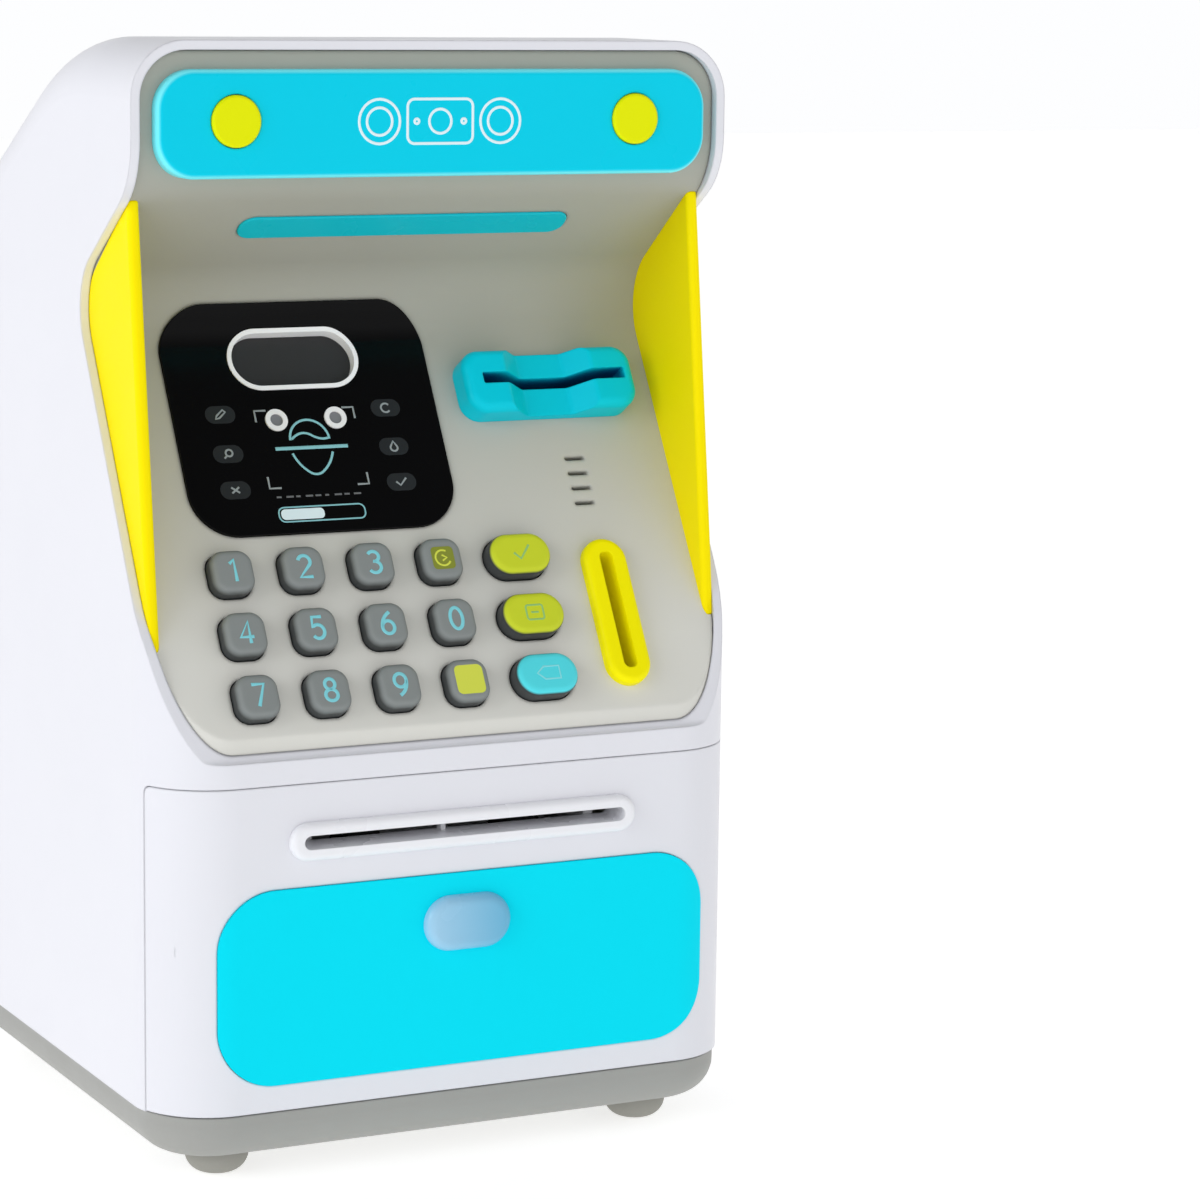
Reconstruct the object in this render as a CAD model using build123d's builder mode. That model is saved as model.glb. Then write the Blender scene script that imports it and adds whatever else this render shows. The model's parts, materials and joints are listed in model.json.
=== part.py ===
"""Toy cash machine savings bank: a white casing on a grey base, a sloped keypad console with yellow
wings under a cyan sign, and a hinged front door that feeds notes into the safe behind it.

Units are millimetres. The origin is the middle of the footprint on the surface the bank stands on,
+X is to the right of somebody facing the bank, +Y runs from the front to the back and +Z is up.
"""
import os
from math import atan2, cos, pi, radians, sin, sqrt, tan

from build123d import *

os.makedirs("parts", exist_ok=True)

# ------------------------------------------------------------------ driving dimensions
WIDTH = 124.0
DEPTH = 128.0
HEIGHT = 216.5
WALL = 1.8
CORNER = 15.3            # plan radius of the two front corners
ROOF_ROUND = 10.8        # rounding along the roof's sides and down the back
ROOF_RADIUS = 70.0       # side view: the roof rolls over on this radius ...
ROOF_START = 40.0        # ... from this far behind the front wall ...
ROOF_ANGLE = 28.5        # ... to this slope
BACK_ROUND = 14.0        # side view: slope to back wall
PULL_PROUD = 2.4         # the door pull is the foremost point
FRONT = PULL_PROUD - (DEPTH + PULL_PROUD) / 2

FEET_HEIGHT = 5.3        # underside of the base
SEAM = 14.5              # base to casing
GAP = 0.25               # visible gap round the door

# console: a straight slope, a bend, an overhang and the upright sign face
SLOPE = 59.5             # degrees from the horizontal
SLOPE_FOOT = 83.6        # height at which the slope would meet the front wall
OVERHANG = 142.1         # direction of the surface above the bend
BEND = (48.4, SLOPE_FOOT + 48.4 * tan(radians(SLOPE)))      # corner of slope and overhang
BEND_ROUND = 13.0
SIGN_BACK = 16.2         # the grey sign face stands this far behind the front wall
SIGN_ROUND = 15.0
FASCIA = 2.4             # thickness of the console moulding

# door
DOOR_TOP = 78.0
DOOR_EDGE = 11.1         # the seam on the left side, behind the front wall
DOOR_WALL = 2.2
DOOR_ROUND = 1.6         # upper corner of the side seam
HINGE_R = 3.0
HINGE_X, HINGE_Y = 57.2, 9.17    # keeps the barrel inside the rounded corner
PIN_R = 1.25
RUN = 0.05               # running clearance on pins and shafts

# keypad: columns and rows measured on the slope
KEY_SIZE = (8.5, 8.8)
PILL_SIZE = (13.2, 8.6)
KEY_ROUND = 2.9
KEY_TOP = 3.4
PILL_TOP = 3.8
KEY_GAP = 0.25
KEY_TRAVEL = 1.6
COLUMNS = [-41.3 + 14.5 * i for i in range(4)]
PILL_COLUMN = 18.9
ROWS = [11.3 + 12.65 * i for i in range(3)]


# ------------------------------------------------------------------ planes
def level(height):
    """Horizontal plane; x is X and y is the distance behind the front wall."""
    return Plane(origin=(0, FRONT, height))


def side(x=0.0):
    """Upright plane seen from the right; x is the distance behind the front wall and y is Z."""
    return Plane(origin=(x, FRONT, 0), x_dir=(0, 1, 0), z_dir=(1, 0, 0))


def upright(behind):
    """Plane parallel to the front wall, facing forwards; x is X and y is Z."""
    return Plane(origin=(0, FRONT + behind, 0), x_dir=(1, 0, 0), z_dir=(0, -1, 0))


def slope(lift=0.0):
    """Console plane facing out of the slope; x is X and y runs up the slope."""
    out = (0, -sin(radians(SLOPE)), cos(radians(SLOPE)))
    return Plane(origin=(0, FRONT, SLOPE_FOOT), x_dir=(1, 0, 0), z_dir=out).offset(lift)


def overhang(lift=0.0):
    """Plane of the slanted face above the bend, facing forwards and down; y runs up the face."""
    a = radians(OVERHANG)
    origin = (0, FRONT + BEND[0], BEND[1])
    return Plane(origin=origin, x_dir=(1, 0, 0), z_dir=(0, -sin(a), cos(a))).offset(lift)


# ------------------------------------------------------------------ shared outlines
def shifted(points, distance):
    """Corner points of an open outline moved sideways, to its left, by a distance."""
    rays = []
    for (ya, za), (yb, zb) in zip(points, points[1:]):
        a = atan2(zb - za, yb - ya)
        rays.append((ya - distance * sin(a), za + distance * cos(a), a))
    moved = [rays[0][:2]]
    for (y1, z1, a), (y2, z2, b) in zip(rays, rays[1:]):
        t = ((y2 - y1) * sin(b) - (z2 - z1) * cos(b)) / sin(b - a)
        moved.append((y1 + t * cos(a), z1 + t * sin(a)))
    y, z, a = rays[-1]
    length = sqrt((points[-1][0] - points[-2][0]) ** 2 + (points[-1][1] - points[-2][1]) ** 2)
    moved.append((moved[-1][0] + length * cos(a), moved[-1][1] + length * sin(a)))
    return moved


def console_points():
    """Slope, bend, overhang and sign face as corner points, from the front wall upwards."""
    run = -8.0
    rise = (BEND[0] - SIGN_BACK) * tan(radians(180 - OVERHANG))
    foot = (run, SLOPE_FOOT + run * tan(radians(SLOPE)))
    return [foot, BEND, (SIGN_BACK, BEND[1] + rise), (SIGN_BACK, HEIGHT + 6)]


def console_skin(outer, inner, width):
    """A layer that follows the console, between two heights above its surface."""
    with BuildPart() as skin:
        with BuildSketch(side()):
            with BuildLine():
                front_edge = shifted(console_points(), outer)
                rear_edge = shifted(console_points(), inner)
                FilletPolyline(*front_edge, radius=[BEND_ROUND - outer, SIGN_ROUND + outer])
                FilletPolyline(*rear_edge, radius=[BEND_ROUND - inner, SIGN_ROUND + inner])
                Line(front_edge[0], rear_edge[0])
                Line(front_edge[-1], rear_edge[-1])
            make_face()
        extrude(amount=width / 2, both=True)
    return skin.part


def console_mass(height, width):
    """Everything behind the console, from a height above its surface back to the rear wall."""
    edge = shifted(console_points(), height)
    with BuildPart() as mass:
        with BuildSketch(side()):
            with BuildLine():
                FilletPolyline(*edge, radius=[BEND_ROUND - height, SIGN_ROUND + height])
                Polyline(edge[-1], (DEPTH, edge[-1][1]), (DEPTH, edge[0][1]), edge[0])
            make_face()
        extrude(amount=width / 2, both=True)
    return mass.part


def body_block(inset, bottom):
    """The casing's outer form, or the space inside it, inset evenly from the outside."""
    turn = radians(ROOF_ANGLE)
    radius = ROOF_RADIUS - inset
    middle = HEIGHT - ROOF_RADIUS
    back = DEPTH - inset

    def on_roof(angle):
        return (ROOF_START + radius * sin(angle), middle + radius * cos(angle))

    roll_end = on_roof(turn)
    back_top = (back, roll_end[1] - (back - roll_end[0]) * tan(turn))
    with BuildPart() as block:
        with BuildSketch(side()):
            with BuildLine():
                front_top = (inset, HEIGHT - inset)
                Polyline(on_roof(0), front_top, (inset, bottom), (back, bottom), back_top, roll_end)
                ThreePointArc(on_roof(0), on_roof(turn / 2), roll_end)
            make_face()
        extrude(amount=WIDTH / 2 - inset, both=True)
        across = block.edges().filter_by(Axis.X).filter_by(lambda e: e.center().Z < HEIGHT - 20)
        fillet(across.sort_by(Axis.Z)[-1], BACK_ROUND - inset)
        flanks = block.faces().filter_by(Axis.X).edges()
        roof_sides = flanks.filter_by(lambda e: e.center().Z > bottom + 1 and e.center().Y > FRONT + 5)
        fillet(roof_sides, ROOF_ROUND - inset)
        fillet(block.edges().filter_by(Axis.Z).group_by(Axis.Y)[0], CORNER - inset)
    return block.part


def plan_outline(inset):
    """The casing's plan, inset evenly, drawn in the sketch that is open."""
    with BuildSketch(mode=Mode.PRIVATE) as plan:
        with Locations((0, DEPTH / 2)):
            Rectangle(WIDTH - 2 * inset, DEPTH - 2 * inset)
        fillet(plan.vertices().group_by(Axis.Y)[0], CORNER - inset)
        fillet(plan.vertices().group_by(Axis.Y)[-1], ROOF_ROUND - inset)
    return plan.sketch


def save(part, name):
    """Label a finished piece and write it."""
    part.label = name
    export_step(part, f"parts/{name}.step")


# ------------------------------------------------------------------ main casing
RIM_POINTS = [(-9, 82.7), (1.2, 82.7), (9.8, 103.0), (46.9, 168.5), (14.4, 190.6), (14.4, HEIGHT + 9)]
RIM_ROUNDS = [1.5, 20.0, 12.0, 14.0]
HINGE_CLEAR = 0.3
BACK_PANEL = (100.0, 138.0)      # opening in the back wall
BACK_PANEL_MIDDLE = 92.0
BACK_PANEL_ROUND = 6.0
LEDGE = 3.5                      # frame the back cover screws down on
SCREW_X, SCREW_Z = 45.0, 62.0    # back cover screws, from the panel's middle
BASE_POSTS = [(x, y) for x in (-52.5, 52.5) for y in (24, 98)]
POST_R = 3.2
COVER_SCREW_R = 1.25
PIN_HOLE_R = 1.0

with BuildPart() as main_shell:
    add(body_block(0, SEAM))
    add(body_block(WALL, SEAM - 5), mode=Mode.SUBTRACT)
    # the mouth: everything in front of the rim
    with BuildSketch(side()):
        with BuildLine():
            FilletPolyline(*RIM_POINTS, radius=RIM_ROUNDS)
            Polyline(RIM_POINTS[-1], (-9, HEIGHT + 9), RIM_POINTS[0])
        make_face()
    extrude(amount=WIDTH, both=True, mode=Mode.SUBTRACT)
    # front doorway: round the left corner, as far as the hinge on the right, and round the hinge
    for x, edge, corner in ((-WIDTH, DOOR_EDGE, DOOR_ROUND), (0, HINGE_Y, 0.3)):
        with BuildSketch(side(x)):
            with Locations((0, SEAM)):
                RectangleRounded(2 * edge, 2 * (DOOR_TOP - SEAM), corner)
        extrude(amount=WIDTH, mode=Mode.SUBTRACT)
    with BuildSketch(level(SEAM - 1)):
        with Locations((HINGE_X, HINGE_Y)):
            Circle(HINGE_R + HINGE_CLEAR)
        with Locations((HINGE_X + HINGE_R, HINGE_Y)):
            Rectangle(2 * HINGE_R, 2 * (HINGE_R + HINGE_CLEAR))
    extrude(amount=DOOR_TOP - SEAM + 1, mode=Mode.SUBTRACT)
    # ledge behind the back cover, then the panel opening
    with BuildSketch(upright(DEPTH - WALL + 0.4)):
        with Locations((0, BACK_PANEL_MIDDLE)):
            RectangleRounded(BACK_PANEL[0] + 4, BACK_PANEL[1] + 4, BACK_PANEL_ROUND + 2)
            RectangleRounded(BACK_PANEL[0] - 2 * LEDGE, BACK_PANEL[1] - 2 * LEDGE, 3, mode=Mode.SUBTRACT)
    extrude(amount=2.4)
    with BuildSketch(upright(DEPTH + 1)):
        with Locations((0, BACK_PANEL_MIDDLE)):
            RectangleRounded(*BACK_PANEL, BACK_PANEL_ROUND)
    extrude(amount=3, mode=Mode.SUBTRACT)
    # bosses for the back cover screws, standing in from the ledge
    with BuildSketch(upright(DEPTH - 3.5)):
        with Locations((0, BACK_PANEL_MIDDLE)):
            with GridLocations(2 * SCREW_X, 2 * SCREW_Z, 2, 2):
                Circle(3.0)
    extrude(amount=6)
    with BuildSketch(upright(DEPTH - 1)):
        with Locations((0, BACK_PANEL_MIDDLE)):
            with GridLocations(2 * SCREW_X, 2 * SCREW_Z, 2, 2):
                Circle(PIN_HOLE_R)
    extrude(amount=7, mode=Mode.SUBTRACT)
    # upper hinge boss, hanging from the lip above the door
    with BuildSketch(level(DOOR_TOP)):
        add(plan_outline(1.0))
        with Locations((HINGE_X, HINGE_Y)):
            Circle(7, mode=Mode.INTERSECT)
    extrude(amount=5)
    with BuildSketch(level(DOOR_TOP - 1)):
        with Locations((HINGE_X, HINGE_Y)):
            Circle(PIN_R)
    extrude(amount=5, mode=Mode.SUBTRACT)
    # bosses that take the base screws, ribbed to the side walls
    with BuildSketch(level(SEAM)):
        with Locations(*BASE_POSTS):
            Circle(POST_R)
        with Locations(*[(1.08 * x, y) for x, y in BASE_POSTS]):
            Rectangle(8.8, 2)
    extrude(amount=10)
    with BuildSketch(level(SEAM)):
        with Locations(*BASE_POSTS):
            Circle(COVER_SCREW_R - 0.05)
    extrude(amount=6, mode=Mode.SUBTRACT)
save(main_shell.part, "main_shell")


# ------------------------------------------------------------------ base tray and feet
BASE_INSET = 0.6
BASE_TOP = SEAM - 0.1
BASE_WALL = 2.0
BASE_ROUND = 7.0
FOOT_R = 6.2
FOOT_ROUND = 3.9
FOOT_POINTS = [(x, y) for x in (-45.4, 45.4) for y in (15.0, DEPTH - 16)]

with BuildPart() as base_cover:
    with BuildSketch(level(FEET_HEIGHT)):
        add(plan_outline(BASE_INSET))
    extrude(amount=BASE_TOP - FEET_HEIGHT)
    fillet(base_cover.edges().group_by(Axis.Z)[0], BASE_ROUND)
    with BuildSketch(level(FEET_HEIGHT + BASE_WALL)):
        add(plan_outline(BASE_INSET + BASE_ROUND))
    with BuildSketch(level(BASE_TOP)):
        add(plan_outline(BASE_INSET + BASE_WALL))
    loft(mode=Mode.SUBTRACT)
    # screw posts stand on the floor of the tray, the lower hinge boss fills its corner
    with BuildSketch(level(FEET_HEIGHT + 0.5)):
        with Locations(*BASE_POSTS):
            Circle(POST_R)
    extrude(amount=BASE_TOP - FEET_HEIGHT - 0.5)
    with BuildSketch(level(FEET_HEIGHT + 3)):
        add(plan_outline(BASE_INSET + 1.4))
        with Locations((HINGE_X, HINGE_Y)):
            Circle(7, mode=Mode.INTERSECT)
    extrude(amount=BASE_TOP - FEET_HEIGHT - 3)
    with BuildSketch(level(FEET_HEIGHT - 1)):
        with Locations(*BASE_POSTS):
            Circle(COVER_SCREW_R)
    extrude(amount=BASE_TOP, mode=Mode.SUBTRACT)
    with BuildSketch(level(FEET_HEIGHT - 1)):
        with Locations(*BASE_POSTS):
            Circle(2.6)
    extrude(amount=3.5, mode=Mode.SUBTRACT)
    with BuildSketch(level(BASE_TOP - 4)):
        with Locations((HINGE_X, HINGE_Y)):
            Circle(PIN_R)
    extrude(amount=6, mode=Mode.SUBTRACT)
save(base_cover.part, "base_cover")

with BuildPart() as feet:
    with BuildSketch(level(0)):
        with Locations(*FOOT_POINTS):
            Circle(FOOT_R)
    extrude(amount=FEET_HEIGHT)
    fillet(feet.edges().group_by(Axis.Z)[0], FOOT_ROUND)
save(feet.part, "feet")


# ------------------------------------------------------------------ back cover and battery bay
CELL_R, CELL_LENGTH = 7.15, 49.0
BAY = (60.0, 48.0)               # battery opening in the back cover
BAY_MIDDLE = 54.0
BAY_DEPTH = 17.0
BAY_WALL = 1.4
CELL_Z = [BAY_MIDDLE + 15.0 * i for i in (-1, 0, 1)]
COVER_BACK = DEPTH - 2.0         # inner face of the back cover

with BuildPart() as rear_cover:
    with BuildSketch(upright(DEPTH)):
        with Locations((0, BACK_PANEL_MIDDLE)):
            RectangleRounded(BACK_PANEL[0] - 0.4, BACK_PANEL[1] - 0.4, BACK_PANEL_ROUND - 0.2)
        with Locations((0, BAY_MIDDLE)):
            RectangleRounded(BAY[0] + 0.4, BAY[1] + 0.4, 3.2, mode=Mode.SUBTRACT)
    extrude(amount=2.0)
    with BuildSketch(upright(DEPTH)):
        with Locations((0, BACK_PANEL_MIDDLE)):
            with GridLocations(2 * SCREW_X, 2 * SCREW_Z, 2, 2):
                Circle(1.3)
    extrude(amount=2.0, mode=Mode.SUBTRACT)
    with BuildSketch(upright(DEPTH)):
        with Locations((0, BACK_PANEL_MIDDLE)):
            with GridLocations(2 * SCREW_X, 2 * SCREW_Z, 2, 2):
                Circle(2.6)
    extrude(amount=0.9, mode=Mode.SUBTRACT)
    # slots that let the sound out and air in, above the battery bay
    with BuildSketch(upright(DEPTH)):
        with Locations((0, 120)):
            with GridLocations(0, 5, 1, 6):
                SlotOverall(40, 2)
    extrude(amount=2.0, mode=Mode.SUBTRACT)
save(rear_cover.part, "rear_cover")

with BuildPart() as battery_cover:
    with BuildSketch(upright(DEPTH)):
        with Locations((0, BAY_MIDDLE)):
            RectangleRounded(BAY[0], BAY[1], 3)
    extrude(amount=1.6)
    with BuildSketch(upright(DEPTH)):
        with Locations((0, BAY_MIDDLE)):
            with GridLocations(0, 3, 1, 7):
                Rectangle(18, 1)
    extrude(amount=0.5, mode=Mode.SUBTRACT)
save(battery_cover.part, "battery_cover")

with BuildPart() as battery_box:
    with BuildSketch(upright(COVER_BACK)):
        with Locations((0, BAY_MIDDLE)):
            Rectangle(BAY[0] + 2 * BAY_WALL, BAY[1] + 2 * BAY_WALL)
    extrude(amount=BAY_DEPTH)
    with BuildSketch(upright(COVER_BACK)):
        with Locations((0, BAY_MIDDLE)):
            Rectangle(BAY[0] - 1.0, BAY[1] - 1.0)
    extrude(amount=BAY_DEPTH - BAY_WALL, mode=Mode.SUBTRACT)
save(battery_box.part, "battery_box")


def cell_end(x, height):
    """Plane square to X on a battery's centre line."""
    return Plane(origin=(x, FRONT + COVER_BACK - 8.0, height), x_dir=(0, 1, 0), z_dir=(1, 0, 0))


with BuildPart() as batteries:
    for height in CELL_Z:
        with BuildSketch(cell_end(-25.0, height)):
            Circle(CELL_R)
        extrude(amount=CELL_LENGTH)
        with BuildSketch(cell_end(-25.0 + CELL_LENGTH, height)):
            Circle(2.7)
        extrude(amount=1.2)
save(batteries.part, "batteries")

with BuildPart() as battery_contacts:
    for height in CELL_Z:
        for x, thickness in ((-29.4, 4.2), (25.5, 3.8)):
            with BuildSketch(cell_end(x, height)):
                Rectangle(9, 10)
            extrude(amount=0.4)
            with BuildSketch(cell_end(x, height)):
                Circle(2.6)
                Circle(1.8, mode=Mode.SUBTRACT)
            extrude(amount=thickness)
save(battery_contacts.part, "battery_contacts")

with BuildPart() as casing_screws:
    with BuildSketch(upright(DEPTH - 0.2)):
        with Locations((0, BACK_PANEL_MIDDLE)):
            with GridLocations(2 * SCREW_X, 2 * SCREW_Z, 2, 2):
                Circle(2.4)
    extrude(amount=0.7)
    with BuildSketch(upright(DEPTH - 0.9)):
        with Locations((0, BACK_PANEL_MIDDLE)):
            with GridLocations(2 * SCREW_X, 2 * SCREW_Z, 2, 2):
                Circle(PIN_HOLE_R)
    extrude(amount=6.5)
    with BuildSketch(upright(DEPTH - 0.2)):
        with Locations((0, BACK_PANEL_MIDDLE)):
            with GridLocations(2 * SCREW_X, 2 * SCREW_Z, 2, 2):
                Rectangle(3.2, 0.6)
                Rectangle(0.6, 3.2)
    extrude(amount=0.4, mode=Mode.SUBTRACT)
    with BuildSketch(level(FEET_HEIGHT + 1.0)):
        with Locations(*BASE_POSTS):
            Circle(2.4)
    extrude(amount=1.5)
    with BuildSketch(level(FEET_HEIGHT + 2.5)):
        with Locations(*BASE_POSTS):
            Circle(COVER_SCREW_R - 0.05)
    extrude(amount=11)
save(casing_screws.part, "casing_screws")


# ------------------------------------------------------------------ console moulding
KEY_SPOTS = [(x, s) for s in ROWS for x in COLUMNS]
PILL_SPOTS = [(PILL_COLUMN, s) for s in ROWS]
SCREEN = (55.4, 47.6)            # across, up the slope
SCREEN_MIDDLE = (-18.5, 68.4)
SCREEN_ROUND = 9.3
WINDOW = (27.5, 12.9)            # oval window in the screen
WINDOW_MIDDLE = (-19.0, 81.25)
RING_WALL = 0.9
RING_TOP, WINDOW_TOP = 0.8, -1.4  # heights of the ring and of the window inside it
LAMPS = [(-25.2, 68.3), (-12.8, 68.3)]
LAMP_R = 2.3
READER = (37.4, 13.4)
READER_MIDDLE = (33.2, 73.0)
CARD_SLOT = (31.4, 2.4)
CARD_SLOT_MIDDLE = (33.95, 73.35)
SLEEVE_WALL = 1.4
SPEAKER_SPOT = (37.2, 52.65)
COIN_BEZEL = (9.4, 30.8)
COIN_SLIT = (2.9, 24.6)
COIN_SPOT = (37.8, 23.9)
STRIP = (69.4, 6.8)
STRIP_MIDDLE = (-0.3, 24.3)      # on the overhang, up from the bend's corner
WINDOW_HOLE = (30.0, 16.0)
SIGN = (114.4, 20.3)
SIGN_MIDDLE = 200.95
CONSOLE_WIDTH = WIDTH - 2 * WALL - 0.2


def slope_prism(middle, size, corner, bottom, top):
    """A rounded block standing square on the slope, between two heights above it."""
    with BuildPart(mode=Mode.PRIVATE) as prism:
        with BuildSketch(slope(bottom)):
            with Locations(middle):
                if corner is None:
                    SlotOverall(max(size), min(size), rotation=0 if size[0] > size[1] else 90)
                else:
                    RectangleRounded(*size, corner)
        extrude(amount=top - bottom)
    return prism.part


def upper_rim(part, plane):
    """The edges of a part that stand highest above a slanted plane."""
    return part.edges().group_by(Axis(origin=(0, 0, 0), direction=plane.z_dir))[-1]


with BuildPart() as console_fascia:
    add(console_skin(0, -FASCIA, CONSOLE_WIDTH))
    add(body_block(WALL + 0.2, SEAM), mode=Mode.INTERSECT)
    for spot in KEY_SPOTS:
        size = [length + 2 * KEY_GAP for length in KEY_SIZE]
        add(slope_prism(spot, size, KEY_ROUND + KEY_GAP, -4, 3), mode=Mode.SUBTRACT)
    for spot in PILL_SPOTS:
        size = [length + 2 * KEY_GAP for length in PILL_SIZE]
        add(slope_prism(spot, size, None, -4, 3), mode=Mode.SUBTRACT)
    # pocket for the screen panel, which runs up into the bend
    with BuildPart(mode=Mode.PRIVATE) as screen_pocket:
        add(console_skin(4, -1.0, CONSOLE_WIDTH))
        recess = (SCREEN[0] + 0.2, SCREEN[1] + 0.2)
        add(slope_prism(SCREEN_MIDDLE, recess, SCREEN_ROUND + 0.1, -5, 20), mode=Mode.INTERSECT)
    add(screen_pocket.part, mode=Mode.SUBTRACT)
    add(slope_prism(WINDOW_MIDDLE, WINDOW_HOLE, None, -6, 8), mode=Mode.SUBTRACT)
    for spot in LAMPS:
        add(slope_prism(spot, (2 * LAMP_R + 0.2, 2 * LAMP_R + 0.1), None, -4, 3), mode=Mode.SUBTRACT)
    sleeve = (CARD_SLOT[0] + 2 * SLEEVE_WALL + 0.2, CARD_SLOT[1] + 2 * SLEEVE_WALL + 0.2)
    add(slope_prism(CARD_SLOT_MIDDLE, sleeve, 1.0, -4, 4), mode=Mode.SUBTRACT)
    with BuildSketch(slope(-4)):
        with Locations(SPEAKER_SPOT):
            with GridLocations(0, 3.23, 1, 4):
                SlotOverall(4.5, 0.9)
    extrude(amount=6, mode=Mode.SUBTRACT)
    coin_neck = (COIN_SLIT[0] + 2 * SLEEVE_WALL + 0.2, COIN_SLIT[1] + 2 * SLEEVE_WALL + 0.2)
    add(slope_prism(COIN_SPOT, coin_neck, 2.5, -4, 4), mode=Mode.SUBTRACT)
    with BuildSketch(overhang(-0.8)):
        with Locations(STRIP_MIDDLE):
            RectangleRounded(STRIP[0] + 0.2, STRIP[1] + 0.2, 3.1)
    extrude(amount=4, mode=Mode.SUBTRACT)
save(console_fascia.part, "console_fascia")


# ------------------------------------------------------------------ wings, sign and light strip
WING = 2.4
WING_FOOT, WING_LEAN = (11.3, 102.8), 0.122
WING_TOP = 196.0
SIGN_FRONT = 13.4
CAP_R = 4.9
CAP_X, CAP_Z = 41.6, 201.5


def wing(x):
    """A flat cheek plate whose inner edge follows the console; x is its left face."""
    with BuildPart() as plate:
        with BuildSketch(side(x)):
            with BuildLine():
                low = (WING_FOOT[0] - 10 * WING_LEAN, WING_FOOT[1] - 10)
                high = (WING_FOOT[0] + (WING_TOP - WING_FOOT[1]) * WING_LEAN, WING_TOP)
                Polyline(low, high, (70, WING_TOP), (70, low[1]), close=True)
            make_face()
        extrude(amount=WING)
        add(console_mass(0, WIDTH), mode=Mode.SUBTRACT)
        front_edges = plate.edges().filter_by(lambda e: e.length > 80)
        fillet(front_edges, 1.0)
        add(body_block(WALL + 0.1, SEAM), mode=Mode.INTERSECT)
    return plate.part


save(wing(-CONSOLE_WIDTH / 2), "left_wing")
save(wing(CONSOLE_WIDTH / 2 - WING), "right_wing")

with BuildPart() as sign_plate:
    with BuildSketch(upright(SIGN_FRONT)):
        with Locations((0, SIGN_MIDDLE)):
            RectangleRounded(*SIGN, 7.5)
    extrude(amount=-5)
    fillet(sign_plate.faces().sort_by(Axis.Y)[0].edges(), 1.2)
    with BuildSketch(upright(SIGN_FRONT)):
        with Locations((-CAP_X, CAP_Z), (CAP_X, CAP_Z)):
            Circle(CAP_R + 0.15)
    extrude(amount=-5, mode=Mode.SUBTRACT)
    add(console_mass(0, WIDTH), mode=Mode.SUBTRACT)
save(sign_plate.part, "sign_plate")

with BuildPart() as sign_caps:
    with BuildSketch(upright(SIGN_BACK)):
        with Locations((-CAP_X, CAP_Z), (CAP_X, CAP_Z)):
            Circle(CAP_R)
    extrude(amount=SIGN_BACK - SIGN_FRONT + 0.7)
    fillet(sign_caps.edges().group_by(Axis.Y)[0], 0.6)
save(sign_caps.part, "sign_caps")

with BuildPart() as light_strip:
    with BuildSketch(overhang(-0.8)):
        with Locations(STRIP_MIDDLE):
            RectangleRounded(*STRIP, 3.0)
    extrude(amount=1.2)
    fillet(upper_rim(light_strip, overhang()), 0.35)
save(light_strip.part, "light_strip")


# ------------------------------------------------------------------ screen, window and lamps
with BuildPart() as screen_panel:
    add(console_skin(0.6, -1.0, CONSOLE_WIDTH))
    add(slope_prism(SCREEN_MIDDLE, SCREEN, SCREEN_ROUND, -5, 20), mode=Mode.INTERSECT)
    add(slope_prism(WINDOW_MIDDLE, (WINDOW[0] + 0.1, WINDOW[1] + 0.1), None, -6, 8), mode=Mode.SUBTRACT)
    with BuildSketch(slope(-3)):
        with Locations(*LAMPS):
            Circle(LAMP_R + 0.05)
    extrude(amount=6, mode=Mode.SUBTRACT)
save(screen_panel.part, "screen_panel")

with BuildPart() as window_ring:
    add(console_skin(RING_TOP, WINDOW_TOP, CONSOLE_WIDTH))
    add(slope_prism(WINDOW_MIDDLE, WINDOW, None, -6, 8), mode=Mode.INTERSECT)
    opening = [length - 2 * RING_WALL for length in WINDOW]
    add(slope_prism(WINDOW_MIDDLE, opening, None, -6, 8), mode=Mode.SUBTRACT)
save(window_ring.part, "window_ring")

with BuildPart() as scan_window:
    add(console_skin(WINDOW_TOP, WINDOW_TOP - 1.2, CONSOLE_WIDTH))
    add(slope_prism(WINDOW_MIDDLE, (WINDOW[0] + 1, WINDOW[1] + 1), None, -8, 8), mode=Mode.INTERSECT)
save(scan_window.part, "scan_window")

with BuildPart() as screen_lamps:
    with BuildSketch(slope(-2.2)):
        with Locations(*LAMPS):
            Circle(LAMP_R)
    extrude(amount=3.2)
    with BuildSketch(slope(0.6)):
        with Locations(*LAMPS):
            Circle(1.3)
    extrude(amount=2, mode=Mode.SUBTRACT)
save(screen_lamps.part, "screen_lamps")

with BuildPart() as scan_module:
    with BuildSketch(slope(-10.5)):
        with Locations(WINDOW_MIDDLE):
            Rectangle(30, 16)
    extrude(amount=1.4)
    with BuildSketch(slope(-9.1)):
        with Locations((WINDOW_MIDDLE[0] - 7, WINDOW_MIDDLE[1])):
            Circle(3.4)
        with Locations((WINDOW_MIDDLE[0] + 6, WINDOW_MIDDLE[1])):
            Rectangle(6, 5)
    extrude(amount=3.2)
save(scan_module.part, "scan_module")


# ------------------------------------------------------------------ card reader and coin slot
READER_HEIGHT = 6.0
READER_EDGE = 1.8
DIP_FLOOR, DIP_BOTTOM, DIP_TOP = 1.8, 10.0, 19.0
DIP_ROUND = 1.5
SLEEVE_DEPTH = 26.0
NECK_DEPTH = 7.0

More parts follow.
